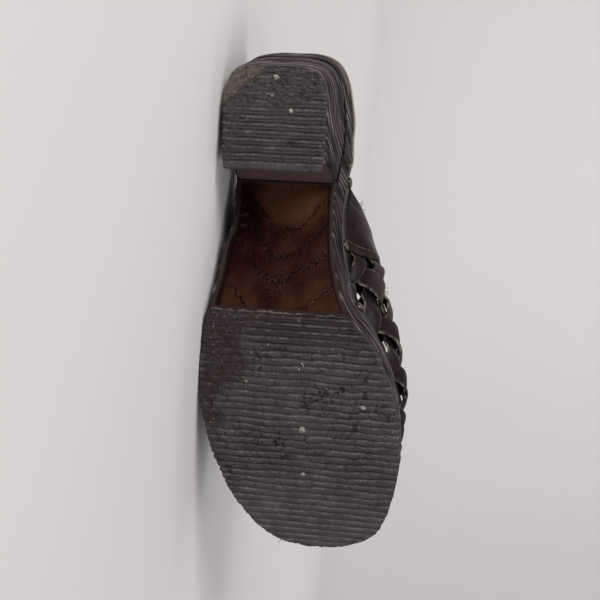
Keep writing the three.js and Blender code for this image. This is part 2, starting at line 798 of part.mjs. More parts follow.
// Laid on the floor on its outer side, toe to +x, sole to -y
const up = vec(FLOOR_PER_X, -1, FLOOR_PER_Z).normalize();
const toe = vec(1, 0, 0).addScaledVector(up, -up.x).normalize();
const lying = new THREE.Matrix4().makeBasis(toe, up.clone().cross(toe), up).transpose();
shoe.quaternion.setFromRotationMatrix(lying);
shoe.updateMatrixWorld(true);
const spread = new THREE.Box3().setFromObject(shoe, true);
const middle = spread.getCenter(vec(0, 0));
shoe.position.set(-middle.x, -middle.y, -spread.min.z);

const mule = new THREE.Group();
mule.name = 'platform_mule';
mule.add(shoe);
export default mule;
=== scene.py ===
"""Left platform mule lying on its outer side, dressed for the render.

Shapes are drawn in the shoe's own frame, in millimetres: x to the toe, y to the
outer side of the foot, z up from the walking plane. Lie turns them into the row.
"""

from __future__ import annotations

import logging
import math
from collections.abc import Sequence
from dataclasses import dataclass
from enum import Enum
from typing import NamedTuple

import bmesh
import bpy
import numpy as np
from mathutils import Matrix, Vector
from numpy.typing import NDArray

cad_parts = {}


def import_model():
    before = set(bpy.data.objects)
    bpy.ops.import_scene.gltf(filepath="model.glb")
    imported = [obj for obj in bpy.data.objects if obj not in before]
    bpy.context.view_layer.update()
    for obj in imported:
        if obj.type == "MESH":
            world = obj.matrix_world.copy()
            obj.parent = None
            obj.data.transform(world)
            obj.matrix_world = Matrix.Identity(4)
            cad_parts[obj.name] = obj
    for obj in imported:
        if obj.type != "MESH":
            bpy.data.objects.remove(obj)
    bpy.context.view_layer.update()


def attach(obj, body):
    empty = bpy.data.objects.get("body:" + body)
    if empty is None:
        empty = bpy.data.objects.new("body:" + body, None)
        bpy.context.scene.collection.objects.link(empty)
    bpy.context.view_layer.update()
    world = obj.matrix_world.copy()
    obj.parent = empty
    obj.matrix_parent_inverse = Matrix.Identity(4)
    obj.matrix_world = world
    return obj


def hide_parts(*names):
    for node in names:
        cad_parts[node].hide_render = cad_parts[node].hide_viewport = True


LOG = logging.getLogger("mule")
MM = 0.001
FLOOR_CLEAR = 0.0001

Array = NDArray[np.float64]
Colour = tuple[float, float, float]
Point = tuple[float, float, float]
Pairs = tuple[tuple[float, float], ...]
Marks = dict[str, Array]
Socket = bpy.types.NodeSocket
Piece = bpy.types.Object
Material = bpy.types.Material


class Side(Enum):
    """Side of the foot, by the sign of y."""

    INNER = -1
    OUTER = 1


class Weave(Enum):
    """Way a strap runs on the flat pattern of the upper."""

    OUTWARD = "outward"
    INWARD = "inward"


class Join(Enum):
    """Way to join two values in a material, by Blender's name."""

    ADD = "ADD"
    MULTIPLY = "MULTIPLY"


class Zone(NamedTuple):
    """Oval on the sole: middle, half sizes along x and y."""

    x: float
    y: float
    long: float
    wide: float

    def far(self, x: Array, y: Array) -> Array:
        """Gives the distance from the middle, in half sizes."""
        return np.hypot((x - self.x) / self.long, (y - self.y) / self.wide)

    def cover(self, x: Array, y: Array) -> Array:
        """Gives 1 in the middle of the oval, fading to 0 beyond its edge."""
        return 1.0 - ease(self.far(x, y), 0.45, 1.25)


class Crease(NamedTuple):
    """Soft trough on the flat pattern: middle, turn in degrees, length, width, depth."""

    x: float
    y: float
    turn: float
    length: float
    width: float
    depth: float


class Stone(NamedTuple):
    """Bit of grit caught in the rubber: place on the sole, size, flatness."""

    x: float
    y: float
    size: float
    flat: float


class Lean(NamedTuple):
    """Stretch of one side that stands out further, or less, than the plan.

    It grows from start to full and fades to its end along the shoe, and grows from
    the low to the high height.
    """

    side: Side
    start: float
    full: float
    fade: float
    end: float
    low: float
    high: float
    reach: float

    def shift(self, x: Array, y: Array, z: Array) -> Array:
        """Works out how far places move across the shoe.

        Args:
            x: Places along the shoe.
            y: Places across it.
            z: Heights.

        Returns:
            Distances to the outer side.
        """
        way = self.side.value
        window = ease(x, self.start, self.full) * (1.0 - ease(x, self.fade, self.end))
        return way * self.reach * window * ease(way * y, 4.0, 20.0) * ease(z, self.low, self.high)


class Fibre(NamedTuple):
    """Loose thread: its root and the way to its tip in shoe millimetres, and its bend."""

    root: Point
    tip: Point
    bend: float

    def tube(self, radius: float, steps: int = 9, ring: int = 6) -> Array:
        """Draws the thread out.

        Args:
            radius: Radius at its root.
            steps: Rings along it.
            ring: Points round it.

        Returns:
            Rings of points, thinner to the tip.
        """
        share = np.linspace(0.0, 1.0, steps)[:, None]
        way = np.array(self.tip) / np.linalg.norm(self.tip)
        aside = np.cross(way, (0.0, 0.0, 1.0))
        aside /= np.linalg.norm(aside)
        line = np.array(self.root) + share * self.tip + self.bend * np.sin(math.pi * share) * aside
        turn = turns(ring)
        round_way = np.cos(turn)[:, None] * aside + np.sin(turn)[:, None] * np.cross(way, aside)
        return line[:, None] + (radius * (1.0 - 0.6 * share))[..., None] * round_way


class Edge(NamedTuple):
    """Points of the plan outline and the way straight out from each."""

    x: Array
    y: Array
    out_x: Array
    out_y: Array

    def beside(self, offset: Array) -> tuple[Array, Array]:
        """Gives x and y at a distance outside the outline."""
        return self.x + self.out_x * offset, self.y + self.out_y * offset


class FleckRow(NamedTuple):
    """Row of tooled flecks on the shank: its way over x and y, half width, strength."""

    way: Pairs
    width: float
    strength: float

    def near(self, x: Array, y: Array) -> Array:
        """Measures how near each place is to the row.

        Args:
            x: Places on the shank.
            y: Places on the shank.

        Returns:
            The strength on the row, fading to 0 beside it.
        """
        far = np.full(x.shape, np.inf)
        for (x0, y0), (x1, y1) in zip(self.way, self.way[1:]):
            run_x, run_y = x1 - x0, y1 - y0
            share = ((x - x0) * run_x + (y - y0) * run_y) / (run_x**2 + run_y**2)
            share = np.clip(share, 0.0, 1.0)
            far = np.minimum(far, np.hypot(x - x0 - share * run_x, y - y0 - share * run_y))
        return self.strength * bell(far, self.width)


class Lamp(NamedTuple):
    """Soft square light: where it hangs and points, its side and its watts."""

    name: str
    place: Point
    aim: Point
    size: float
    power: float


def ease(value: Array, start: float, end: float) -> Array:
    """Steps smoothly from 0 at the start to 1 at the end."""
    share = np.clip((value - start) / (end - start), 0.0, 1.0)
    return share * share * (3.0 - 2.0 * share)


def bell(distance: Array, width: float | Array) -> Array:
    """Gives a soft hump of height 1 and the given half width."""
    return np.exp(-np.square(distance / width))


def stack(x: Array, y: Array, z: Array) -> Array:
    """Joins three coordinates of one shape into points."""
    return np.stack(np.broadcast_arrays(x, y, z), axis=-1).astype(float)


def turns(count: int) -> Array:
    """Gives evenly spaced angles once round."""
    return np.linspace(0.0, 2.0 * math.pi, count, endpoint=False)


def covered(zones: Sequence[Zone], x: Array, y: Array) -> Array:
    """Gives the strongest cover of several ovals, and 0 where there is none."""
    return np.max([np.zeros_like(x), *(zone.cover(x, y) for zone in zones)], axis=0)


class Noise:
    """Smooth repeatable noise on a plane, from -1 to 1."""

    def __init__(self, seed: int) -> None:
        """Keeps the seed that sets this noise apart from the others."""
        self.seed = seed

    def cell(self, i: Array, j: Array | float) -> Array:
        """Gives a fixed number from 0 to 1 for each cell of the plane."""
        value = np.sin(i * 12.9898 + j * 78.233 + self.seed * 37.719) * 43758.5453
        return value - np.floor(value)

    def at(self, x: Array, y: Array | float) -> Array:
        """Blends the numbers of the four nearest cells.

        Args:
            x: First coordinate, in cells.
            y: Second coordinate, in cells.

        Returns:
            Noise from -1 to 1.
        """
        x, y = np.broadcast_arrays(x, y)
        i, j = np.floor(x), np.floor(y)
        u, v = ease(x - i, 0.0, 1.0), ease(y - j, 0.0, 1.0)
        near = self.cell(i, j) * (1.0 - u) + self.cell(i + 1.0, j) * u
        far = self.cell(i, j + 1.0) * (1.0 - u) + self.cell(i + 1.0, j + 1.0) * u
        return 2.0 * (near * (1.0 - v) + far * v) - 1.0

    def rough(self, x: Array, y: Array | float) -> Array:
        """Adds two finer layers to the noise."""
        fine = 0.3 * self.at(x * 2.1 + 5.3, y * 2.1 - 3.1)
        return 0.55 * self.at(x, y) + fine + 0.15 * self.at(x * 4.3, y * 4.3)

    def specks(self, x: Array, y: Array, cell: float, share: float) -> Array:
        """Scatters small round specks.

        Args:
            x: First coordinate.
            y: Second coordinate.
            cell: Size of the cell that holds at most one speck.
            share: Share of the cells that hold one.

        Returns:
            1 in a speck and 0 elsewhere.
        """
        i, j = np.floor(x / cell), np.floor(y / cell)
        mid_x = (i + 0.3 + 0.4 * self.cell(i, j)) * cell
        mid_y = (j + 0.3 + 0.4 * self.cell(j, i + 9.0)) * cell
        size = cell * (0.12 + 0.14 * self.cell(i + 4.0, j))
        held = self.cell(i - 7.0, j + 2.0) < share
        return held * (1.0 - ease(np.hypot(x - mid_x, y - mid_y), 0.7 * size, 1.2 * size))


class Table:
    """Sizes at a few stations along the shoe, joined by smooth curves."""

    def __init__(self, rows: Sequence[tuple[float, ...]]) -> None:
        """Keeps the rows and works out the slopes at them.

        Args:
            rows: Sizes at each station, with its x first.
        """
        self.rows = np.array(rows, dtype=float)
        xs = self.rows[:, 0]
        inner = (self.rows[2:] - self.rows[:-2]) / (xs[2:] - xs[:-2])[:, None]
        first = (self.rows[1] - self.rows[0]) / (xs[1] - xs[0])
        last = (self.rows[-1] - self.rows[-2]) / (xs[-1] - xs[-2])
        self.slopes = np.vstack([first, inner, last])

    def follow(self, x: Array, column: int = 1) -> Array:
        """Reads one column along the shoe.

        Args:
            x: Stations.
            column: Column of the table.

        Returns:
            The size at each station.
        """
        xs, values, slopes = self.rows[:, 0], self.rows[:, column], self.slopes[:, column]
        at = np.clip(x, xs[0], xs[-1])
        i = np.clip(np.searchsorted(xs, at) - 1, 0, len(xs) - 2)
        run = xs[i + 1] - xs[i]
        t = (at - xs[i]) / run
        rise = values[i] * (1.0 + 2.0 * t) * (1.0 - t) ** 2
        fall = values[i + 1] * (3.0 - 2.0 * t) * t**2
        return rise + fall + run * t * (1.0 - t) * (slopes[i] * (1.0 - t) - slopes[i + 1] * t)


class Outline:
    """Plan outline on the ground as a closed loop: heel back, inner side, toe, outer side."""

    MIDDLES = (3.0, -18.5)
    INNER_ROWS = (
        (3.2, -7.5), (6, -17.6), (13, -21.2), (27, -21.9), (46, -21.4), (64, -18.6),
        (84, -20.8), (104, -25.8), (122, -35.2), (136, -48.2), (152, -57.2), (172, -63),
        (194, -64.8), (214, -63.2), (231, -58.3), (243.5, -50.2), (250.8, -37),
    )
    OUTER_ROWS = (
        (3.2, 13.5), (6, 23.6), (13, 27.3), (27, 28.3), (46, 28), (64, 26.6),
        (84, 28.8), (104, 32.6), (122, 35.2), (138, 37.6), (156, 38.8), (176, 37.7),
        (196, 33.4), (215, 27), (231, 18.2), (243.5, 7.8), (250.5, -3),
    )
    LENGTH = 253.2

    def __init__(self) -> None:
        """Joins the rows into the loop and measures both sides."""
        ends = [(3.0, self.MIDDLES[0]), (self.LENGTH, self.MIDDLES[1])]
        ring = [ends[0], *self.INNER_ROWS, ends[1], *reversed(self.OUTER_ROWS)]
        self.knots = np.array(ring, dtype=float)
        self.rows = len(self.INNER_ROWS) + 1
        share = np.linspace(0.0, 0.5, 1400)
        self.share = share
        self.sides = {}
        for side in Side:
            x, y = self.point(share if side is Side.INNER else 1.0 - share)
            self.sides[side] = (np.maximum.accumulate(x + 1e-7 * share), y)

    def point(self, u: Array) -> tuple[Array, Array]:
        """Finds points of the loop.

        Args:
            u: Shares of the way round.

        Returns:
            Their x and y.
        """
        count = len(self.knots)
        place = (np.asarray(u) % 1.0) * count
        i = np.floor(place).astype(int)
        t = (place - i)[..., None]
        before, start, end, after = (self.knots[(i + k) % count] for k in (-1, 0, 1, 2))
        gaps = []
        for a, b in ((before, start), (start, end), (end, after)):
            gaps.append(np.sqrt(np.linalg.norm(b - a, axis=-1, keepdims=True)))
        g0, g1, g2 = gaps
        leave = (start - before) / g0 - (end - before) / (g0 + g1) + (end - start) / g1
        arrive = (end - start) / g1 - (after - start) / (g1 + g2) + (after - end) / g2
        leave, arrive = leave * g1, arrive * g1
        bend = 2.0 * start - 2.0 * end + leave + arrive
        curve = -3.0 * start + 3.0 * end - 2.0 * leave - arrive
        made = ((bend * t + curve) * t + leave) * t + start
        return made[..., 0], made[..., 1]

    def edge(self, u: Array) -> Edge:
        """Finds points of the loop and the way straight out from it.

        Args:
            u: Shares of the way round.

        Returns:
            The points and their outward directions.
        """
        x, y = self.point(u)
        ahead, behind = self.point(u + 0.0005), self.point(u - 0.0005)
        step_x, step_y = ahead[0] - behind[0], ahead[1] - behind[1]
        length = np.hypot(step_x, step_y)
        return Edge(x, y, step_y / length, -step_x / length)

    def chord(self, x: Array) -> tuple[Array, Array]:
        """Gives y of the inner and of the outer edge at each x."""
        inner, outer = self.sides[Side.INNER], self.sides[Side.OUTER]
        return np.interp(x, *inner), np.interp(x, *outer)

    def station(self, x: Array, side: Side) -> Array:
        """Gives the share of the way round at each x on one side."""
        share = np.interp(x, self.sides[side][0], self.share)
        return share if side is Side.INNER else 1.0 - share

    def around(self, rows: Array) -> Array:
        """Gives the shares of the way round for rows from heel to toe, then back."""
        way = rows / (2.0 * self.rows)
        return np.concatenate([way, 1.0 - way[1:-1][::-1]])


class Shoe:
    """Heights and offsets that all pieces share."""

    TOE_SPRING = 14.3
    SPRING_START = 150.0
    GAP = 0.3
    FIT = 0.5
    TREAD_BACK = 124.0
    TREAD_THICK = 4.0
    REBATE_HEIGHT = 9.0
    UPPER_WALL = 1.6
    UNDER = Table([(0, 50), (40, 50), (60, 50), (64, 50), (90, 33), (111, 17.5), (124, 4.3)])
    TOP = Table([
        (0, 78), (30, 77.5), (55, 76.5), (75, 72.5), (100, 61), (112, 52.5), (124, 43),
        (136, 35.8), (150, 31), (165, 29.3), (180, 29.5), (200, 31), (225, 35), (254, 40.5),
    ])
    WEAR_AT = (13.6, 16.8)
    WEAR_AWAY = (-0.78, 0.626)
    WEAR_SLOPE = 0.6
    SETTLE = 0.075
    SETTLE_HEIGHT = 26.0
    HEEL_FLARE = 0.078
    TOE_FLARE = 0.03
    SEAT_STEP = 0.4
    REBATE_DEPTH = 4.6
    LEANS = (
        Lean(Side.INNER, 42, 58, 68, 86, 46, 72, 2.9),
        Lean(Side.INNER, 18, 36, 40, 56, 30, 70, 0.9),
        Lean(Side.INNER, -20, -10, 0, 34, 10, 60, -3.0),
        Lean(Side.OUTER, 46, 58, 66, 80, 30, 48, 1.3),
        Lean(Side.OUTER, 87, 96, 98, 112, -2, -1, 0.7),
        Lean(Side.OUTER, 88, 98, 108, 126, 26, 44, 1.2),
        Lean(Side.OUTER, 74, 84, 87, 95, -2, -1, -0.7),
        Lean(Side.INNER, 222, 240, 262, 270, -2, -1, 1.8),
        Lean(Side.INNER, 108, 122, 138, 158, 8, 30, -2.1),
    )

    def __init__(self) -> None:
        """Draws the plan outline."""
        self.outline = Outline()

    def ground(self, x: Array) -> Array:
        """Gives the height of the walking face, which springs up at the toe."""
        run = self.outline.LENGTH - self.SPRING_START
        return self.TOE_SPRING * (np.maximum(x - self.SPRING_START, 0.0) / run) ** 2

    def top(self, x: Array) -> Array:
        """Gives the height of the platform's top."""
        return self.TOP.follow(x)

    def ledge(self, x: Array) -> Array:
        """Gives the height of the ledge that the rand stands on."""
        return self.top(x) - self.REBATE_HEIGHT

    def under(self, x: Array) -> Array:
        """Gives the height of the platform's underside."""
        tread = self.ground(x) + self.TREAD_THICK + self.GAP
        return np.where(x < self.TREAD_BACK, self.UNDER.follow(x), tread)

    def flare(self, x: Array) -> Array:
        """Gives how far the walls lean out per millimetre of height."""
        return self.HEEL_FLARE + (self.TOE_FLARE - self.HEEL_FLARE) * ease(x, 60.0, 150.0)

    def rebate_wall(self, x: Array) -> Array:
        """Gives the offset of the wall that the upper is lasted to."""
        depth = self.SEAT_STEP + (self.REBATE_DEPTH - self.SEAT_STEP) * ease(x, 54.0, 56.0)
        return self.flare(x) * self.ledge(x) - depth

    def rand_inside(self, x: Array) -> Array:
        """Gives the offset of the rand's inner face."""
        return self.rebate_wall(x) + 2.0 * self.FIT + self.UPPER_WALL

    def wear(self, x: Array, y: Array) -> Array:
        """Gives the height of the slope worn off the outer back corner of the heel."""
        away = (x - self.WEAR_AT[0]) * self.WEAR_AWAY[0] + (y - self.WEAR_AT[1]) * self.WEAR_AWAY[1]
        return self.WEAR_SLOPE * away

    def settle(self, points: Array) -> Array:
        """Lets the worn platform lean, with most of it at the inner forefoot and the waist.

        Args:
            points: Points in shoe millimetres.

        Returns:
            The points, moved across the shoe by a few millimetres at most.
        """
        x, y, z = points.T
        over = np.clip(z - self.ground(x) - self.TREAD_THICK, 0.0, self.SETTLE_HEIGHT)
        forefoot = self.SETTLE * over * ease(x, 118.0, 165.0) * ease(-y, 8.0, 46.0)
        leans = np.sum([lean.shift(x, y, z) for lean in self.LEANS], axis=0)
        leans = leans * (1.0 - ease(z - self.top(x), 4.0, 22.0))
        return points + stack(0.0 * x, forefoot + leans, 0.0 * x)


class Lie:
    """The way the shoe lies on the floor."""

    FLOOR_PER_X = 0.0689
    FLOOR_PER_Z = 0.0564
    SHIFT = (-124.60074, -56.33469, 28.19047)

    def __init__(self) -> None:
        """Works out the turn from the slope of the floor under the shoe."""
        up = np.array([self.FLOOR_PER_X, -1.0, self.FLOOR_PER_Z])
        up /= np.linalg.norm(up)
        toe = np.array([1.0, 0.0, 0.0]) - up * up[0]
        toe /= np.linalg.norm(toe)
        self.turn = np.array([toe, np.cross(up, toe), up])

    def points(self, shoe: Array) -> Array:
        """Moves points from the shoe's frame to the row, in metres."""
        return (shoe @ self.turn.T + np.array(self.SHIFT)) * MM

    def direction(self, shoe: Sequence[float]) -> Vector:
        """Turns a direction from the shoe's frame to the row."""
        return Vector(self.turn @ np.array(shoe))


SHOE = Shoe()
LIE = Lie()


class Shape:
    """Points, faces and painted marks of one piece."""

    def __init__(self, rings: Array | None = None, marks: Marks | None = None) -> None:
        """Starts with nothing, or with one closed tube.

        Args:
            rings: Points in rows, each row a closed ring.
            marks: Painted values, one per point.
        """
        self.points: list[Array] = []
        self.faces: list[list[int]] = []
        self.marks: list[tuple[int, Marks]] = []
        self.count = 0
        if rings is not None:
            self.tube(rings, marks)

    def add(self, points: Array, marks: Marks | None = None) -> NDArray[np.int64]:
        """Adds points that share an array.

        Args:
            points: Points in shoe millimetres, in an array of any shape.
            marks: Painted values, one per point.

        Returns:
            The number of each point, in the same shape.
        """
        shape = points.shape[:-1]
        size = int(np.prod(shape))
        ids = np.arange(self.count, self.count + size).reshape(shape)
        self.points.append(points.reshape(-1, 3))
        flat = {}
        for key, value in (marks or {}).items():
            flat[key] = np.broadcast_to(value, shape).reshape(-1)
        self.marks.append((self.count, flat))
        self.count += size
        return ids

    def skin(self, ids: NDArray[np.int64], closed: bool) -> None:
        """Covers a grid of points with four-sided faces.

        Args:
            ids: Numbers of the points, in rows.
            closed: Whether each row closes on itself.
        """
        after = np.roll(ids, -1, axis=1)
        if not closed:
            ids, after = ids[:, :-1], after[:, :-1]
        quads = np.stack([ids[:-1], after[:-1], after[1:], ids[1:]], axis=-1)
        self.faces.extend(quads.reshape(-1, 4).tolist())

    def tube(self, rings: Array, marks: Marks | None = None) -> None:
        """Covers rings that follow each other, and closes both ends.

        Args:
            rings: Points in rows, each row a closed ring.
            marks: Painted values, one per point.
        """
        ids = self.add(rings, marks)
        self.skin(ids, True)
        self.faces.append(ids[0][::-1].tolist())
        self.faces.append(ids[-1].tolist())

    def piece(
        self, name: str, material: Material, slot: str | None, *nodes: str, merge: bool = False,
    ) -> Piece:
        """Makes the mesh object and gives it its material and its place in the frame.

        Args:
            name: Name of the piece.
            material: Its material.
            slot: Colour slot that it belongs to; not used.
            *nodes: Solids that it replaces.
            merge: Whether points that lie on each other become one.

        Returns:
            The piece, in the row's frame.
        """
        mesh = bpy.data.meshes.new(name)
        placed = LIE.points(SHOE.settle(np.concatenate(self.points)))
        placed[:, 2] = np.maximum(placed[:, 2], FLOOR_CLEAR)
        mesh.from_pydata(placed.tolist(), [], self.faces)
        for key in sorted({key for _, marks in self.marks for key in marks}):
            values = np.zeros(self.count)
            for start, marks in self.marks:
                if key in marks:
                    values[start:start + len(marks[key])] = marks[key]
            mesh.attributes.new(key, "FLOAT", "POINT").data.foreach_set("value", values)
        work = bmesh.new()
        work.from_mesh(mesh)
        if merge:
            bmesh.ops.remove_doubles(work, verts=work.verts, dist=2e-6)
            bmesh.ops.dissolve_degenerate(work, edges=work.edges, dist=1e-6)
        bmesh.ops.recalc_face_normals(work, faces=work.faces)
        work.to_mesh(mesh)
        work.free()
        mesh.shade_smooth()
        mesh.materials.append(material)
        piece = bpy.data.objects.new(name, mesh)
        bpy.context.scene.collection.objects.link(piece)
        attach(piece, "root")
        if nodes:
            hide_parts(*nodes)
        return piece


class Shading:
    """Node tree of one material while it is put together."""

    def __init__(self, name: str) -> None:
        """Starts a material with its plain shader.

        Args:
            name: Name of the material.
        """
        self.material = bpy.data.materials.new(name)
        self.material.use_nodes = True
        self.tree = self.material.node_tree
        self.shader = next(n for n in self.tree.nodes if n.type == "BSDF_PRINCIPLED")
        self.place = self.node("TexCoord").outputs["Object"]

    def node(self, kind: str, **inputs: float | Colour | Socket) -> bpy.types.Node:
        """Adds a node.

        Args:
            kind: Kind of node.
            **inputs: What goes into its sockets, with _ for a space in a socket's name.

        Returns:
            The node.
        """
        made = self.tree.nodes.new(f"ShaderNode{kind}")
        for name, value in inputs.items():
            self.feed(made.inputs[name.replace("_", " ")], value)
        return made

    def feed(self, socket: Socket, value: float | Colour | Socket) -> None:
        """Fills one socket.

        Args:
            socket: The socket.
            value: Number or colour to set, or the result to link.
        """
        if isinstance(value, Socket):
            self.tree.links.new(value, socket)
        else:
            socket.default_value = (*value, 1.0) if isinstance(value, tuple) else value

    def set(self, name: str, value: float | Colour | Socket) -> None:
        """Fills one socket of the shader."""
        self.feed(self.shader.inputs[name], value)

    def mark(self, name: str) -> Socket:
        """Reads a painted mark.

        Args:
            name: Name of the mark.

        Returns:
            Its value.
        """
        node = self.node("Attribute")
        node.attribute_name = name
        return node.outputs["Fac"]

    def noise(
        self, scale: float, detail: float = 3.0, stretch: Point = (1.0, 1.0, 1.0),
        place: Socket | None = None,
    ) -> Socket:
        """Adds noise in the row's space, or on painted places.

        Args:
            scale: Cells per unit of the place.
            detail: Number of finer layers.
            stretch: Factor on each axis.
            place: Painted places, if any.

        Returns:
            The noise, from 0 to 1.
        """
        mapping = self.node("Mapping", Vector=place or self.place)
        mapping.inputs["Scale"].default_value = stretch
        node = self.node("TexNoise", Scale=scale, Detail=detail, Vector=mapping.outputs["Vector"])
        return node.outputs[0]

    def painted(self, first: str, second: str) -> Socket:
        """Joins two painted marks into a place on a plane."""
        return self.node("CombineXYZ", X=self.mark(first), Y=self.mark(second)).outputs[0]

    def join(self, way: Join, first: Socket | float, second: Socket | float) -> Socket:
        """Adds a sum or product of two values.

        Args:
            way: The way to join them.
            first: First value.
            second: Second value.

        Returns:
            The result.
        """
        node = self.node("Math")
        node.operation = way.value
        for socket, value in zip(node.inputs, (first, second)):
            self.feed(socket, value)
        return node.outputs[0]

    def span(self, value: Socket, low: float, high: float, start: float, end: float) -> Socket:
        """Maps a value from low to high onto start to end, and holds it there."""
        return self.node(
            "MapRange", Value=value, From_Min=low, From_Max=high, To_Min=start, To_Max=end,
        ).outputs[0]

    def mix(self, share: Socket, low: Colour | Socket, high: Colour | Socket) -> Socket:
        """Mixes two colours.

        Args:
            share: Share of the second colour.
            low: First colour.
            high: Second colour.

        Returns:
            The mixed colour.
        """
        node = self.node("Mix")
        node.data_type = "RGBA"
        for number, value in ((0, share), (6, low), (7, high)):
            self.feed(node.inputs[number], value)
        return node.outputs[2]

    def paint(self, colour: Socket, **tones: Colour | Socket) -> Socket:
        """Lays tones over a colour where the marks of the same names are.

        Args:
            colour: Colour underneath.
            **tones: Tone of each mark, the lowest first.

        Returns:
            The painted colour.
        """
        for name, tone in tones.items():
            colour = self.mix(self.mark(name), colour, tone)
        return colour

    def roughen(self, value: Socket, middle: float, less: float, more: float) -> None:
        """Sets a roughness that goes with a noise, from less to more than the middle."""
        self.set("Roughness", self.span(value, 0.3, 0.7, middle - less, middle + more))

    def bump(self, height: Socket, depth: float, strength: float = 1.0) -> None:
        """Adds fine relief, its depth in millimetres."""
        node = self.node("Bump", Strength=strength, Distance=depth * MM, Height=height)
        self.set("Normal", node.outputs["Normal"])


@dataclass(frozen=True)
class Rubber:
    """Dull ribbed rubber, dark in its grooves, with dust and a painted highlight along one flank of
    each rib.
    """

    name: str
    rib: Colour = (0.061, 0.052, 0.055)
    dull: Colour = (0.036, 0.0295, 0.0315)
    groove: Colour = (0.009, 0.007, 0.008)
    worn: Colour = (0.017, 0.0095, 0.010)
    bevel: Colour = (0.098, 0.080, 0.064)
    # The dust tone also paints the highlight lines along the rib flanks.
    dust: Colour = (0.165, 0.150, 0.148)
    smudge: Colour = (0.006, 0.005, 0.005)
    roughness: float = 0.62
    specular: float = 0.16

    def material(self) -> Material:
        """Builds the material from the marks on the rubber.

        Returns:
            The material.
        """
        shade = Shading(self.name)
        cloud = shade.noise(120.0, 4.0)
        grain = shade.noise(1800.0)
        colour = shade.mix(shade.span(cloud, 0.35, 0.65, 0.0, 1.0), self.dull, self.rib)
        colour = shade.mix(shade.span(shade.mark("tone"), -1.0, 1.0, 0.0, 0.55), colour, self.dull)
        crumb = shade.noise(1150.0, 2.0)
        colour = shade.mix(shade.span(crumb, 0.46, 0.64, 0.0, 0.42), colour, self.groove)
        colour = shade.mix(shade.span(crumb, 0.38, 0.26, 0.0, 0.16), colour, self.dust)
        granular = shade.mix(shade.span(grain, 0.36, 0.55, 0.0, 1.0), self.dull, self.bevel)
        colour = shade.paint(colour, worn=self.worn, bevel=granular, groove=self.groove)
        colour = shade.paint(colour, dust=self.dust, smudge=self.smudge)
        shade.set("Base Color", colour)
        shade.roughen(cloud, self.roughness, 0.08, 0.1)
        shade.set("Specular IOR Level", self.specular)
        shade.bump(shade.join(Join.ADD, grain, crumb), 0.26, 0.8)
        return shade.material


@dataclass(frozen=True)
class GrainedWall:
    """Moulded wall with the look of stacked leather or wood."""

    name: str
    ridge: Colour = (0.240, 0.204, 0.213)
    brown: Colour = (0.042, 0.0265, 0.0290)
    groove: Colour = (0.0048, 0.0030, 0.0034)
    breast: Colour = (0.102, 0.061, 0.062)
    roughness: float = 0.78
    specular: float = 0.04

    def material(self) -> Material:
        """Builds the material from the marks on the wall.

        Returns:
            The material.
        """
        shade = Shading(self.name)
        grain = shade.painted("level", "along")
        cloud = shade.noise(60.0, 4.0)
        streak = shade.noise(0.30, 3.0, (1.0, 0.05, 1.0), grain)
        fibre = shade.noise(1.1, 3.0, (1.0, 0.035, 1.0), grain)
        colour = shade.mix(shade.span(cloud, 0.38, 0.66, 0.0, 0.3), self.ridge, self.brown)
        colour = shade.paint(colour, brown=self.brown)
        colour = shade.mix(shade.span(streak, 0.45, 0.56, 0.0, 0.5), colour, self.brown)
        colour = shade.mix(shade.span(fibre, 0.47, 0.6, 0.0, 0.6), colour, self.groove)
        colour = shade.paint(colour, groove=self.groove, breast=self.breast)
        shade.set("Base Color", colour)
        shade.roughen(fibre, self.roughness, 0.1, 0.15)
        shade.set("Specular IOR Level", self.specular)
        shade.bump(shade.span(fibre, 0.35, 0.7, 1.0, 0.0), 0.35, 0.8)
        return shade.material


@dataclass(frozen=True)
class ShankGloss:
    """Glossy red-brown moulding with rows of dark flecks."""

    name: str
    # Where the warm mark is high, this tone also stands for painted light and reflection.
    warm: Colour = (0.062, 0.0265, 0.0135)
    deep: Colour = (0.0095, 0.0017, 0.0016)
    rim: Colour = (0.022, 0.015, 0.015)
    # The fleck tone also paints the shadow inside the outer rim of the recess.
    fleck: Colour = (0.0030, 0.0012, 0.0012)
    glint: Colour = (0.110, 0.064, 0.046)
    roughness: float = 0.36
    specular: float = 0.022

    def material(self) -> Material:
        """Builds the material from the marks on the shank.

        Returns:
            The material.
        """
        shade = Shading(self.name)
        cloud = shade.noise(90.0, 4.0)
        streak = shade.noise(500.0, 3.0, (0.25, 1.0, 1.0))
        blotch = shade.span(cloud, 0.35, 0.68, -0.12, 0.16)
        blotch = shade.join(Join.ADD, blotch, shade.mark("warm"))
        colour = shade.mix(shade.span(blotch, 0.0, 1.0, 0.0, 1.0), self.deep, self.warm)
        colour = shade.mix(shade.span(streak, 0.5, 0.75, 0.0, 0.35), colour, self.deep)
        colour = shade.paint(colour, fleck=self.fleck, glint=self.glint, rim=self.rim)
        shade.set("Base Color", colour)
        shade.roughen(streak, self.roughness, 0.06, 0.12)
        shade.set("Specular IOR Level", self.specular)
        shade.bump(streak, 0.1, 0.5)
        return shade.material


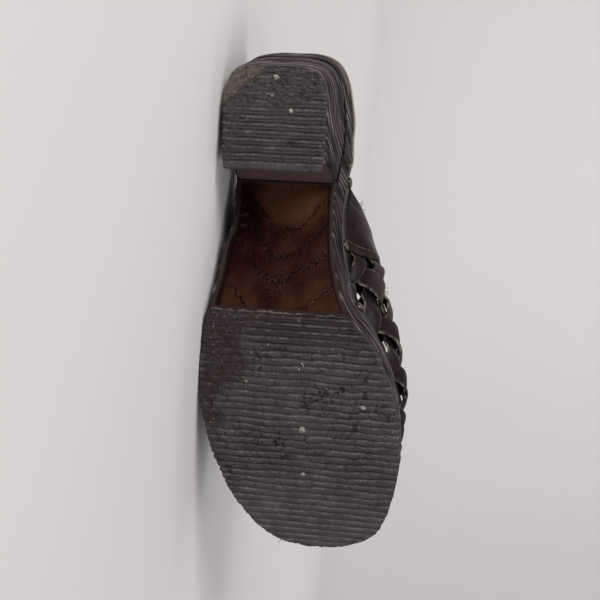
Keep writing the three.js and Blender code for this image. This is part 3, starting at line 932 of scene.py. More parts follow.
@dataclass(frozen=True)
class Leather:
    """Dark brown dressed leather with pale raw edges and fine grain."""

    name: str
    face: Colour = (0.0058, 0.0026, 0.0032)
    rubbed: Colour = (0.0165, 0.0102, 0.0114)
    raw: Colour = (0.215, 0.176, 0.170)
    # Colour of the painted shade on inner faces and under crossing straps.
    deep: Colour = (0.0066, 0.0048, 0.0050)
    # Tone of the painted highlight on the sides of the band and straps.
    sheen: Colour = (0.088, 0.070, 0.072)
    roughness: float = 0.5
    specular: float = 0.1
    coat: float = 0.02
    coat_roughness: float = 0.28

    def material(self) -> Material:
        """Builds the material from the marks on the leather.

        Returns:
            The material.
        """
        shade = Shading(self.name)
        cloud = shade.noise(140.0, 4.0)
        grain = shade.noise(1400.0)
        patchy = shade.span(cloud, 0.35, 0.7, 0.2, 1.0)
        rub = shade.join(Join.MULTIPLY, patchy, shade.mark("rub"))
        colour = shade.mix(rub, self.face, self.rubbed)
        colour = shade.paint(colour, sheen=self.sheen, edge=self.raw, deep=self.deep)
        shade.set("Base Color", colour)
        shade.roughen(cloud, self.roughness, 0.08, 0.14)
        shade.set("Specular IOR Level", self.specular)
        shade.set("Coat Weight", self.coat)
        shade.set("Coat Roughness", self.coat_roughness)
        shade.bump(grain, 0.09, 0.55)
        return shade.material


@dataclass(frozen=True)
class Sock:
    """Tan sock leather, darkened where the foot stood."""

    name: str
    tan: Colour = (0.25, 0.165, 0.095)
    foot: Colour = (0.075, 0.045, 0.028)
    worn: Colour = (0.19, 0.128, 0.075)
    edge: Colour = (0.20, 0.158, 0.130)
    roughness: float = 0.6

    def material(self) -> Material:
        """Builds the material from the marks on the sock.

        Returns:
            The material.
        """
        shade = Shading(self.name)
        cloud = shade.noise(110.0, 4.0)
        grain = shade.noise(1600.0)
        colour = shade.mix(shade.span(cloud, 0.3, 0.7, 0.0, 1.0), self.tan, self.worn)
        shade.set("Base Color", shade.paint(colour, foot=self.foot, side=self.edge))
        shade.roughen(cloud, self.roughness, 0.12, 0.1)
        shade.bump(grain, 0.1, 0.5)
        return shade.material


@dataclass(frozen=True)
class Tarnished:
    """Dark antiqued metal of the tack heads."""

    name: str
    bright: Colour = (0.20, 0.165, 0.125)
    dark: Colour = (0.035, 0.028, 0.024)
    metallic: float = 0.8
    roughness: float = 0.39

    def material(self) -> Material:
        """Builds the material, darker at the rim.

        Returns:
            The material.
        """
        shade = Shading(self.name)
        spots = shade.noise(900.0)
        colour = shade.mix(shade.span(spots, 0.4, 0.65, 0.0, 1.0), self.bright, self.dark)
        shade.set("Base Color", shade.paint(colour, rim=self.dark))
        shade.set("Metallic", self.metallic)
        shade.roughen(spots, self.roughness, 0.11, 0.11)
        return shade.material


@dataclass(frozen=True)
class Speckled:
    """Plain rough stuff of two tones: grit, dried glue, thread or the floor."""

    name: str
    light: Colour
    dark: Colour
    scale: float = 900.0
    roughness: float = 0.75

    def material(self) -> Material:
        """Builds the material.

        Returns:
            The material.
        """
        shade = Shading(self.name)
        spots = shade.noise(self.scale)
        tone = shade.span(spots, 0.35, 0.65, 0.0, 1.0)
        shade.set("Base Color", shade.mix(tone, self.light, self.dark))
        shade.set("Roughness", self.roughness)
        return shade.material


@dataclass
class RibPattern:
    """Worn cross ribs of a rubber sole, broken into short bricks."""

    start: float
    seed: int
    pitch: float = 3.68
    depth: float = 0.95
    half_line: float = 0.0
    wander: float = 0.7
    bricks: float = 0.52
    tears: float = 1.0
    brick_length: float = 9.5
    straight: tuple[Zone, ...] = ()

    def __post_init__(self) -> None:
        """Sets up the noise of this sheet."""
        self.noise = Noise(self.seed)

    def line(self, k: Array, y: Array, loose: Array) -> Array:
        """Finds where grooves run.

        Args:
            k: Numbers of the grooves.
            y: Places across the sole.
            loose: Share of the wander that shows.

        Returns:
            x of the grooves.
        """
        noise = self.noise
        slow = noise.at(y / 17.0, k * 0.31 + 11.0)
        quick = noise.at(y / 5.0, k * 0.83 + 31.0)
        ragged = noise.at(y / 1.7, k * 2.3 + 51.0)
        run = y / self.brick_length + 9.0 * noise.cell(k, 21.0)
        step = np.floor(run)
        turn = ease(run - step, 0.0, 0.16)
        before, after = noise.cell(k * 1.3, step - 1.0), noise.cell(k * 1.3, step)
        jog = before * (1.0 - turn) + after * turn - 0.5
        bend = 0.8 * slow + 0.4 * quick + 0.22 * ragged + 1.2 * jog
        return self.start + self.pitch * k + self.wander * loose * bend

    def relief(self, x: Array, y: Array) -> tuple[Array, Marks]:
        """Works out the worn surface.

        Args:
            x: Places on the sole.
            y: Places on the sole.

        Returns:
            How far the surface is cut in, and the marks for its colour.
        """
        noise = self.noise
        tame = covered(self.straight, x, y)
        loose = 1.0 - 0.7 * tame
        first = np.floor((x - self.start) / self.pitch)
        lines = np.stack([self.line(first + step, y, loose) for step in (-1.0, 0.0, 1.0, 2.0)])
        place = np.clip((x >= lines).sum(axis=0) - 1, 0, 2)
        rib = first - 1.0 + place
        low = np.take_along_axis(lines, place[None], axis=0)[0]
        high = np.take_along_axis(lines, place[None] + 1, axis=0)[0]
        share = np.clip((x - low) / np.maximum(high - low, 0.5), 0.0, 1.0)
        flank = np.abs(2.0 * share**0.8 - 1.0)
        soft = 0.8 + 0.3 * noise.at(x / 20.0, y / 15.0 + 9.0)
        groove = flank**5.0 * soft
        roll = flank**2.0
        length = self.brick_length * (0.6 + 0.8 * noise.cell(rib, 3.0))
        slant = 1.1 * (noise.cell(rib, 17.0) - 0.5)
        run = (y + slant * (x - low)) / length + 13.0 * noise.cell(rib, 5.0)
        run = run + 0.1 * noise.at(y / 3.0, x / 1.2)
        brick, cut = np.floor(run), np.round(run)
        chance = noise.cell(rib, cut * 1.37)
        cracked = np.clip((self.bricks * (1.0 - 0.7 * tame) - chance) / 0.25, 0.0, 1.0)
        crack = bell(np.abs(run - cut) * length, 0.5) * cracked
        own = noise.cell(rib * 1.9, brick) - 0.5
        fine_lines = self.straight[0].cover(x, y) if self.straight else 0.0
        half = (self.half_line + 0.42 * fine_lines) * bell((share - 0.55) * self.pitch, 0.4)
        squiggle = bell(noise.at(x / 3.1 + 17.0, y / 4.6), 0.07)
        squiggle = squiggle * ease(noise.at(x / 9.0, y / 11.0 + 5.0), 0.05, 0.5)
        squiggle = squiggle * loose * self.tears
        fine = 0.16 * noise.rough(x / 0.75, y / 1.1) + 0.1 * noise.at(x / 2.4, y / 3.2)
        cut_in = self.depth * (0.7 * groove + 0.3 * roll) + 0.4 * crack + half + 0.45 * squiggle
        cut_in = cut_in + 0.25 * own * loose + fine
        dark = np.clip(1.1 * groove + 0.6 * crack + 1.1 * half + 0.8 * squiggle, 0.0, 1.0)
        # Painted highlight: a light line along one flank of each rib, mixed in with the dust.
        rubbed = bell(share - 0.2, 0.09) * ease(noise.rough(x / 2.2, y / 2.9), -0.1, 0.35)
        tone = 2.2 * own + 0.8 * noise.at(x / 6.0, y / 9.0) + 0.9 * noise.rough(x, y / 1.7)
        tone = np.clip(tone, -1.0, 1.0)
        return cut_in, {"groove": 0.95 * dark, "tone": tone, "dust": 0.34 * rubbed}


def sheet_grid(x: Array, columns: int) -> tuple[Array, Array, Array, Array]:
    """Spreads columns of places over the sole.

    Args:
        x: Stations, one per row.
        columns: Number of columns.

    Returns:
        Share of the way across, x and y of the places, distance from the nearer side.
    """
    low, high = SHOE.outline.chord(x)
    share = np.linspace(0.0, 1.0, columns)
    width = (high - low)[:, None]
    y = low[:, None] + width * share
    return share, np.repeat(x[:, None], columns, axis=1), y, np.minimum(share, 1.0 - share) * width


def sheet_rings(x: Array, y: Array, z: Array, top: Array) -> Array:
    """Closes a carved underside into rings with two top corners.

    Args:
        x: Stations, one per row.
        y: Widths, rows by columns from the inner to the outer edge.
        z: Carved heights, rows by columns.
        top: Height of the flat top, one per row.

    Returns:
        Rings of points, one per row.
    """
    carved = stack(x[:, None], y, z)
    outer = stack(x, y[:, -1], np.maximum(top, z[:, -1] + 0.02))
    inner = stack(x, y[:, 0], np.maximum(top, z[:, 0] + 0.02))
    return np.concatenate([carved, outer[:, None], inner[:, None]], axis=1)


def ring_marks(marks: Marks) -> Marks:
    """Repeats the edge marks of a carved sheet on its two top corners."""
    corners = {key: (value[:, -1:], value[:, :1]) for key, value in marks.items()}
    return {key: np.concatenate([marks[key], *corners[key]], axis=1) for key in marks}


@dataclass
class ForefootTread:
    """Rubber tread under the forefoot."""

    finish: Rubber
    seed: int = 5
    back: float = Shoe.TREAD_BACK
    toe: float = 253.05
    tip: float = 3.0
    thick: float = Shoe.TREAD_THICK
    step: float = 0.36
    columns: int = 184
    edge_fall: int = 30
    frayed_rows: int = 6
    worn: tuple[Zone, ...] = (Zone(134, 31, 20, 21), Zone(149, 25, 17, 15), Zone(168, 33, 24, 8))
    torn: tuple[Zone, ...] = (
        Zone(169, -17, 5, 4.5), Zone(165, -25, 5, 7), Zone(161, -33, 3.5, 5), Zone(192, -3, 4.5, 4),
    )
    straight: tuple[Zone, ...] = (Zone(126, -25, 14, 34), Zone(246, -20, 26, 60))

    def relief(self, x: Array, y: Array) -> tuple[Array, Marks]:
        """Works out the worn and torn ribs.

        Args:
            x: Places on the sole.
            y: Places on the sole.

        Returns:
            How far the rubber is cut in, and the marks for its colour.
        """
        noise = Noise(self.seed)
        ribs = RibPattern(self.back, 11, straight=self.straight, half_line=0.08, depth=1.15)
        cut, marks = ribs.relief(x, y)
        drift = 3.5 * noise.at(x / 6.0, y / 5.0) + 2.0 * noise.at(x / 2.2, y / 2.0)
        worn = covered(self.worn, x + drift, y + drift)
        rough = noise.rough(x / 1.5, y / 1.8)
        cut = cut * (1.0 - 0.75 * worn) + worn * (0.36 + 0.55 * rough)
        ragged = covered(self.torn, x, y) * ease(noise.rough(x, y / 1.3), 0.08, 0.32)
        rear = 0.75 * (1.0 - ease(x, 126.0, 150.0))
        marks["worn"] = np.clip(np.maximum(worn * (0.85 + 0.5 * rough), rear), 0.0, 1.0)
        faded = 1.0 - 0.5 * ease(x, 198.0, 238.0)
        marks["groove"] = marks["groove"] * (1.0 - 0.45 * worn) * faded
        marks["tone"] = marks["tone"] - 1.5 * ease(x, 196.0, 236.0)
        marks["smudge"] = np.clip(1.1 * ragged, 0.0, 1.0)
        specks = noise.specks(x, y, 2.6, 0.016) + worn * noise.specks(x, y, 1.9, 0.10)
        dust = marks["dust"] * (1.0 - 0.8 * worn) + 0.55 * specks + 0.06 * ease(x, 200.0, 236.0)
        marks["dust"] = np.clip(dust, 0.0, 0.6)
        return cut + 0.75 * ragged, marks

    def build(self) -> Piece:
        """Carves the tread and dresses it.

        Returns:
            The piece.
        """
        noise = Noise(self.seed)
        rows = np.arange(self.back, self.toe - self.tip, self.step)
        tip = self.toe - self.tip * np.linspace(1.0, 0.0, 22) ** 1.8
        x = np.concatenate([rows, tip[1:]])
        share, flat_x, y, inset = sheet_grid(x, self.columns)
        cut, marks = self.relief(flat_x, y)
        rim = bell(inset, 0.8)
        cut = cut * (1.0 - 0.5 * rim) + 0.35 * rim + 0.4 * bell(flat_x - self.back, 0.8)
        teeth = 0.3 + 0.8 * noise.rough(x / 1.7, 2.0) + 0.6 * marks["groove"][:, 3]
        bite = 0.3 + 0.8 * noise.rough(x / 1.5, 8.0) + 0.6 * marks["groove"][:, -4]
        y = y + (1.0 - share) ** self.edge_fall * teeth[:, None]
        y = y - share**self.edge_fall * bite[:, None]
        fall = np.linspace(1.0, 0.0, self.frayed_rows)[:, None]
        fray = 0.5 * noise.rough(y[:self.frayed_rows] / 1.6, 4.0) * fall
        nibble = 0.55 * noise.rough(y / 1.7, 12.0) * ease(flat_x, self.toe - self.tip, self.toe)
        z = SHOE.ground(x)[:, None] + np.minimum(cut, self.thick - 0.8)
        rings = sheet_rings(x, y, z, SHOE.ground(x) + self.thick)
        rings[:self.frayed_rows, :self.columns, 0] += fray
        rings[:, :self.columns, 0] += nibble
        shape = Shape(rings, ring_marks(marks))
        return shape.piece("forefoot_rubber", self.finish.material(), "rubber", "forefoot_tread")


@dataclass
class HeelLift:
    """Rubber top lift under the heel, worn off at its outer back corner."""

    finish: Rubber
    seed: int = 23
    back: float = 3.05
    front: float = 52.7
    tip: float = 3.0
    thick: float = 6.0
    smooth_to: float = 19.0
    step: float = 0.3
    columns: int = 150
    edge_fall: int = 30
    rubbed_side: Zone = Zone(30, 25, 18, 6)
    nick: Zone = Zone(39.2, -5.3, 1.4, 2.6)

    def relief(self, x: Array, y: Array) -> tuple[Array, Array, Marks]:
        """Works out the rubbed ribs and the worn corner.

        Args:
            x: Places on the sole.
            y: Places on the sole.

        Returns:
            How far the ribs are cut in, the height of the worn slope, and the marks.
        """
        noise = Noise(self.seed)
        ribs = RibPattern(
            self.smooth_to, 3, wander=0.34, bricks=0.1, half_line=0.4, depth=1.1, tears=0.5,
        )
        cut, marks = ribs.relief(x, y)
        edge = self.smooth_to + 3.5 * noise.at(y / 9.0, 2.0) + 3.0 * noise.at(y / 23.0, 5.0)
        rubbed = 1.0 - ease(x - edge, -3.5, 4.5)
        rubbed = np.maximum(rubbed, 0.75 * self.rubbed_side.cover(x, y))
        crumb = noise.rough(x / 1.1, y / 1.6)
        ripple = noise.rough(x / 1.5 + 3.0 * noise.at(y / 8.0, 1.0), y / 7.0)
        strip = ease(x, self.front - 4.2, self.front - 3.2)
        nick = bell(self.nick.far(x, y), 1.0)
        slope = SHOE.wear(x, y)
        fringe = 1.5 * noise.rough(x / 2.4, y / 2.4) + 0.9 * crumb
        bevel = ease(slope + fringe, -0.1, 2.2) * (1.0 - 0.45 * ease(crumb, 0.0, 0.4))
        cut = cut * (1.0 - 0.85 * rubbed) + rubbed * (0.36 + 0.5 * crumb + 0.3 * ripple)
        cut = cut * (1.0 - 0.85 * strip) + 0.1 * strip + 0.7 * nick
        groove = marks["groove"] * (1.0 - 0.85 * rubbed) + 0.7 * rubbed * ease(crumb, 0.05, 0.4)
        marks["groove"] = groove * (1.0 - 0.9 * strip) * (1.0 - bevel)
        marks["worn"] = 0.35 * rubbed * ease(ripple, -0.2, 0.4)
        marks["smudge"] = 0.8 * nick
        marks["dust"] = np.clip(marks["dust"] + 0.4 * noise.specks(x, y, 2.4, 0.02), 0.0, 0.5)
        marks["bevel"] = bevel
        return cut, slope + 0.22 * crumb * ease(slope, -0.4, 0.8), marks

    def build(self) -> Piece:
        """Carves the lift and dresses it.

        Returns:
            The piece.
        """
        tip = self.back + self.tip * np.linspace(0.0, 1.0, 20) ** 1.8
        rows = np.arange(self.back + self.tip, self.front + 0.01, self.step)
        x = np.concatenate([tip[:-1], rows])
        share, flat_x, y, inset = sheet_grid(x, self.columns)
        cut, slope, marks = self.relief(flat_x, y)
        cut = cut + 0.3 * bell(inset, 0.7) + 0.5 * bell(flat_x - self.front, 0.6)
        z = np.minimum(np.maximum(cut, slope), self.thick - 0.3)
        nibble = 0.3 * Noise(self.seed).rough(x / 1.5, 7.0)[:, None]
        y = y + (1.0 - share) ** self.edge_fall * (0.25 + nibble)
        y = y - share**self.edge_fall * (0.25 - nibble)
        rings = sheet_rings(x, y, z, np.full_like(x, self.thick))
        shape = Shape(rings, ring_marks(marks))
        return shape.piece("heel_rubber", self.finish.material(), "rubber", "heel_top_lift")


@dataclass
class Grain:
    """Grooves of the moulded walls, which climb the heel and run down the shank."""

    seed: int = 41
    pitch: float = 5.7
    depth: float = 0.5
    width: float = 1.3
    climb: Table = Table([
        (0, 0), (12, 0.6), (25, 5.2), (35, 14.7), (50, 38.7), (58, 53.5), (68, 67.5),
        (80, 76.5), (92, 80), (105, 79.7), (118, 76), (130, 72), (150, 70), (175, 75.5),
        (215, 91.5), (240, 99.5), (254, 101),
    ])

    def dent(self, x: Array, along: Array, z: Array) -> tuple[Array, Marks]:
        """Works out the grain.

        Args:
            x: Place along the shoe.
            along: Way round the wall from the heel.
            z: Height.

        Returns:
            How far the wall is cut in, and the marks for its colour.
        """
        noise = Noise(self.seed)
        x, along, z = np.broadcast_arrays(x, along, z)
        level = z - self.climb.follow(x) + 1.3 * noise.at(along / 34.0, z / 13.0)
        phase = level / self.pitch + 0.45 * noise.at(along / 36.0 + 7.0, level / 8.0)
        line = np.round(phase)
        gap = (phase - line) * self.pitch + 0.8 * noise.at(along / 8.0, line * 1.7)
        strength = np.clip(0.75 + 0.9 * noise.at(along / 14.0, line * 3.1), 0.1, 1.0)
        hair = bell(np.abs(noise.at(along / 26.0 + 11.0, level / 0.9)), 0.16)
        ridge = bell(gap, self.width * (1.0 + 0.5 * noise.at(along / 11.0, line * 5.3))) * strength
        ridge = np.clip(ridge * (1.0 - 0.4 * hair) + 0.1 * (1.0 - hair), 0.0, 1.0)
        cut = self.depth * (1.0 - ridge) + 0.1 * noise.at(along / 12.0 + 3.0, level / 1.6)
        return cut, {"groove": 0.98 * (1.0 - ridge) ** 1.05, "level": level, "along": along}


@dataclass
class Platform:
    """Platform from heel seat to toe: grained walls and the recessed shank."""

    wall_finish: GrainedWall
    shank_finish: ShankGloss
    levels: int = 54
    seat_levels: int = 9
    row_count: int = 620
    step_rows: tuple[float, ...] = (5.42, 5.57, 6.1, 6.2, 9.1, 9.16)
    round_off: float = 1.3
    heel_front: float = 64.0
    seam: float = 4.2
    turn_in: float = 3.5
    turn_up: float = 3.2
    shank_back: float = 62.5
    shank_front: float = 124.4
    shank_rows: int = 172
    shank_columns: int = 116
    shank_seed: int = 61
    rim: float = 2.6
    recess: float = 2.0
    rows: tuple[FleckRow, ...] = (
        FleckRow((
            (67.7, 23.5), (77.8, 16.7), (84, 10.9), (87.1, 2.4), (86.2, -5.3), (80.2, -10.8),
            (67.9, -19.7),
        ), 1.0, 1.0),
        FleckRow((
            (71.9, 28.8), (78.7, 24.6), (86.7, 19.4), (93.5, 13.9), (98.5, 9.9), (101.8, 4.8),
            (98.4, -4.5), (94.3, -7.1), (90.5, -12.4), (86.9, -17.1), (81.6, -20.2),
        ), 1.15, 0.95),
        FleckRow((
            (90.6, 27.7), (95.6, 22.2), (100.7, 18.1), (106.2, 13.8), (110.9, 6.5), (111.1, 0),
            (107.5, -4.5), (105, -10.6), (101.3, -15.8), (98.3, -19.9), (93.6, -21.2),
        ), 1.7, 1.0),
        FleckRow(((112.5, 28.3), (116.6, 24.1), (121.6, 18.4), (123.5, 15.9)), 1.1, 1.0),
        FleckRow(((121.5, -13.5), (118.7, -17.9), (115.3, -23), (112.5, -25.7)), 1.2, 1.0),
    )
    scuffs: tuple[FleckRow, ...] = (
        FleckRow(((82.0, 28.3), (80.9, 24.0)), 0.4, 0.9),
        FleckRow(((86.5, 26.9), (86.0, 25.7), (86.3, 24.1)), 0.4, 0.8),
    )
    strewn: tuple[Zone, ...] = (Zone(88, 2, 4, 8), Zone(101, 4, 6, 8), Zone(113, 4, 10, 10))
    # Patch of painted light near the heel end of the recess.
    painted_light_zone: Zone = Zone(73, 2, 14, 19)

    def way_round(self, edge: Edge, toe: int) -> Array:
        """Measures the way along the wall from the heel, alike on both sides.

        Args:
            edge: Outline under the wall.
            toe: Number of its point at the toe.

        Returns:
            The way to each point.
        """
        gaps = np.hypot(np.roll(edge.x, -1) - edge.x, np.roll(edge.y, -1) - edge.y)
        along = np.cumsum(gaps) - gaps
        whole, half = float(gaps.sum()), float(along[toe])
        return np.where(along > half, (whole - along) * half / (whole - half), along)

    def ring(self, edge: Edge, offset: Array, share: Array) -> Array:
        """Places rings beside the outline, at heights read at the shifted places.

        Args:
            edge: Outline under the wall.
            offset: Distances from it, levels by stations.
            share: Share of the wall's height, one row per level.

        Returns:
            Points, levels by stations.
        """
        x, y = edge.beside(offset)
        under = SHOE.under(x)
        return stack(x, y, under + (SHOE.ledge(x) - under) * share)

    def walls(self) -> Piece:
        """Stacks the rings of the wall and closes it above and below.

        Returns:
            The piece.
        """
        outline = SHOE.outline
        rows = np.linspace(0, outline.rows, self.row_count + 1)
        rows = np.unique(np.concatenate([rows, self.step_rows]))
        edge = outline.edge(outline.around(rows))
        x, along = edge.x, self.way_round(edge, len(rows) - 1)
        share = np.linspace(0.0, 1.0, self.levels)[:, None]
        under, ledge = SHOE.under(x), SHOE.ledge(x)
        z = under + (ledge - under) * share
        cut, grain = Grain().dent(x[None, :], along[None, :], z)
        low_round = np.maximum(1.0 - (z - under) / self.round_off, 0.0) ** 2
        high_round = np.maximum(1.0 - (ledge - z) / self.round_off, 0.0) ** 2
        seam = np.maximum(1.0 - (z - under) / self.seam, 0.0) * (x < self.heel_front)
        cut = cut + 1.1 * low_round + 0.8 * high_round + 0.7 * seam**2
        joint = (1.0 - ease(z - under, 1.8, 2.8)) * (x < self.heel_front)
        grain["groove"] = np.maximum(grain["groove"], np.maximum(joint, high_round**0.7))
        grain["brown"] = 0.75 * bell(x - 98.0, 36.0) + 0.3 * ease(x, 120.0, 150.0) + 0.0 * z
        wall = self.ring(edge, SHOE.flare(x) * z - cut, share)
        inside = SHOE.flare(x) * under - self.turn_in
        flat = self.ring(edge, inside[None, :], np.array([[0.0]]))
        flat[..., 2] += self.turn_up
        climb = np.linspace(0.0, 1.0, self.seat_levels)[:, None]
        seat_z = ledge + (SHOE.top(x) - ledge) * climb
        seat_cut, seat_grain = Grain().dent(x[None, :], along[None, :], seat_z)
        seat_cut = (seat_cut + 0.5 * climb**8) * (1.0 - ease(x, 50.0, 54.0))
        seat_x, seat_y = edge.beside(SHOE.rebate_wall(x) - seat_cut)
        seat_low = SHOE.ledge(seat_x)
        seat = stack(seat_x, seat_y, seat_low + (SHOE.top(seat_x) - seat_low) * climb)
        seat_grain["brown"] = np.zeros_like(seat_x)
        marks = {}
        for key, value in grain.items():
            marks[key] = np.concatenate([value[:1], value, seat_grain[key]])
        shape = Shape()
        ids = shape.add(np.concatenate([flat, wall, seat]), marks)
        shape.skin(ids, True)
        for level, turn in ((ids[0], -1), (ids[-1], 1)):
            inner, outer = level[:len(rows)], np.roll(level[::-1], 1)[:len(rows)]
            shape.skin(np.stack([inner, outer], axis=1)[::turn], False)
        material = self.wall_finish.material()
        return shape.piece("platform_walls", material, "platform_wall", "sole_platform", merge=True)

    def flecks(self, x: Array, y: Array, sunk: Array) -> tuple[Array, Array]:
        """Scatters the tooled flecks of the shank.

        Args:
            x: Places on the shank.
            y: Places on the shank.
            sunk: 1 in the recess and 0 on its rim.

        Returns:
            Strength of the dark flecks, and of the glints beside them.
        """
        noise = Noise(self.shank_seed)
        sway = x + 0.9 * noise.at(x / 5.0, y / 4.0) + 0.4 * noise.at(y / 1.7, x / 2.3)
        near = np.max([row.near(sway, y) for row in self.rows], axis=0)
        loose = 0.62 * covered(self.strewn, x, y)
        dots = ease(noise.at(x / 0.6, y / 0.5), -0.25, 0.3)
        grit = ease(noise.at(x / 0.8 + 40.0, y / 0.75), 0.1, 0.5)
        spark = ease(noise.at(x / 0.6 + 9.0, y / 0.55 + 5.0), 0.45, 0.8)
        fleck = np.clip(1.25 * near * dots + loose * grit, 0.0, 1.0) * sunk
        return fleck, np.maximum(near, 0.5 * loose) * spark * sunk

    def shank(self) -> Piece:
        """Carves the recessed underside between heel and tread.

        Returns:
            The piece.
        """
        x = np.linspace(self.shank_back, self.shank_front, self.shank_rows)
        low, high = SHOE.outline.chord(x)
        under = SHOE.under(np.minimum(x, Shoe.TREAD_BACK - 0.01))
        lean = SHOE.flare(x) * under
        share = np.linspace(0.0, 1.0, self.shank_columns)
        start, width = low - lean + 0.5, high - low + 2.0 * lean - 1.0
        y = start[:, None] + width[:, None] * share
        flat_x = np.repeat(x[:, None], self.shank_columns, axis=1)
        edge = np.minimum(share, 1.0 - share) * width[:, None]
        sunk = ease(edge, self.rim - 0.5, self.rim + 0.8) * ease(flat_x, 64.6, 65.8)
        sunk = sunk * (1.0 - ease(flat_x, 121.6, 123.4))
        fleck, glint = self.flecks(flat_x, y, sunk)
        swell = 0.25 * Noise(self.shank_seed).at(flat_x / 16.0, y / 12.0)
        lip = 0.9 * np.maximum(1.0 - edge, 0.0) ** 2
        z = under[:, None] + self.recess * sunk + lip
        z = z + sunk * (swell + 0.22 * fleck - 0.06 * glint)
        # Painted reflection: the recess turns warmer and lighter towards its front corners.
        corner = ease(flat_x, 106.0, 121.0) * ease(np.abs(y), 9.0, 20.0)
        warm = 0.16 + 0.04 * ease(flat_x, 98.0, 118.0) + 0.2 * corner
        # Painted light: a lighter, warmer patch near the heel end of the recess, against the heel's
        # shade.
        warm = warm + 0.85 * self.painted_light_zone.cover(flat_x, y)
        warm = warm - 0.2 * ease(y, 8.0, 20.0) * (1.0 - ease(flat_x, 98.0, 114.0))
        # Painted shadow: a near-black band inside the outer rim of the recess, laid on with the
        # fleck colour.
        shadow = bell(edge - self.rim - 0.8, 2.2) * ease(y, 14.0, 24.0) * ease(flat_x, 74.0, 90.0)
        scuff = np.max([row.near(flat_x, y) for row in self.scuffs], axis=0)
        marks = {
            "fleck": np.maximum(fleck, 0.95 * shadow),
            "glint": np.maximum(0.3 * glint * (1.0 - shadow), 0.34 * scuff * sunk),
            "warm": np.clip(warm, 0.0, 1.0),
            "rim": 1.0 - ease(sunk, 0.2, 0.8),
        }
        shape = Shape(sheet_rings(x, y, z, under + 5.0), ring_marks(marks))
        material = self.shank_finish.material()
        return shape.piece("shank_moulding", material, "platform_wall", "sole_platform")


@dataclass
class HeelBlock:
    """Heel block with grained walls and a bare coved breast."""

    finish: GrainedWall
    foot: float = 6.3
    head: float = 49.7
    breast: float = 50.0
    reach: float = 14.0
    back_rows: float = 4.0
    back_end: float = 27.0
    levels: int = 80
    back_steps: int = 84
    side_steps: int = 64
    breast_steps: int = 60
    seed: int = 71

    def side(self, front: Array, side: Side) -> tuple[Edge, Array]:
        """Finds the wall of one side from the heel back to the breast.

        Args:
            front: x of the breast, one per level.
            side: Side of the foot.

        Returns:
            The outline under the wall, one row per level, and the way along it.
        """
        outline = SHOE.outline
        way = np.linspace(0.0, self.back_rows, self.back_steps) / (2.0 * outline.rows)
        back = np.repeat((way if side is Side.INNER else 1.0 - way)[None], self.levels, axis=0)
        steps = np.linspace(0.0, 1.0, self.side_steps + 1)[1:]
        reach = self.back_end + (front - self.back_end) * steps
        edge = outline.edge(np.concatenate([back, outline.station(reach, side)], axis=1))
        gaps = np.hypot(np.diff(edge.x, axis=1), np.diff(edge.y, axis=1))
        along = np.concatenate([np.zeros((self.levels, 1)), np.cumsum(gaps, axis=1)], axis=1)
        return edge, along

    def build(self) -> Piece:
        """Stacks the rings of the block and dresses it.

        Returns:
            The piece.
        """
        z = np.linspace(self.foot, self.head, self.levels)[:, None]
        front = self.breast + self.reach * ((z - self.foot) / (self.head - self.foot)) ** 2.2
        foot_end = np.maximum(1.0 - (z - self.foot) / 0.8, 0.0) ** 2
        head_end = np.maximum(1.0 - (self.head - z) / 2.6, 0.0) ** 2
        walls, grains = [], []
        for side in Side:
            edge, along = self.side(front, side)
            cut, grain = Grain().dent(edge.x, along, z)
            corner = np.maximum(1.0 - (front - edge.x) / 1.4, 0.0) ** 2
            offset = SHOE.flare(edge.x) * z - cut - 0.6 * foot_end - 1.3 * head_end - 0.9 * corner
            grain["groove"] = np.maximum(grain["groove"], 1.0 - ease(self.head - z, 0.6, 1.5))
            x, y = edge.beside(offset)
            walls.append(stack(x, y, np.maximum(z, SHOE.wear(x, y))))
            grains.append(grain)
        share = np.linspace(0.0, 1.0, self.breast_steps + 2)[1:-1]
        start, stop = walls[0][:, -1], walls[1][:, -1]
        face = start[:, None] + (stop - start)[:, None] * share[None, :, None]
        wrinkle = Noise(self.seed).rough(face[..., 1] / 4.0, face[..., 2] / 2.2)
        plain = {
            "groove": 0.25 * ease(wrinkle, 0.1, 0.5),
            "level": face[..., 2],
            "along": face[..., 1],
        }
        face[..., 0] += 0.1 * wrinkle - 0.5 * foot_end - 0.6 * head_end
        rings = np.concatenate([walls[0], face, walls[1][:, :0:-1]], axis=1)
        marks = {}
        for key, own in plain.items():
            marks[key] = np.concatenate([grains[0][key], own, grains[1][key][:, :0:-1]], axis=1)
        marks["breast"] = np.zeros(rings.shape[:2])
        first = walls[0].shape[1]
        marks["breast"][:, first:first + self.breast_steps] = 1.0
        shape = Shape(rings, marks)
        return shape.piece("heel_moulding", self.finish.material(), "heel_wall", "heel_block")


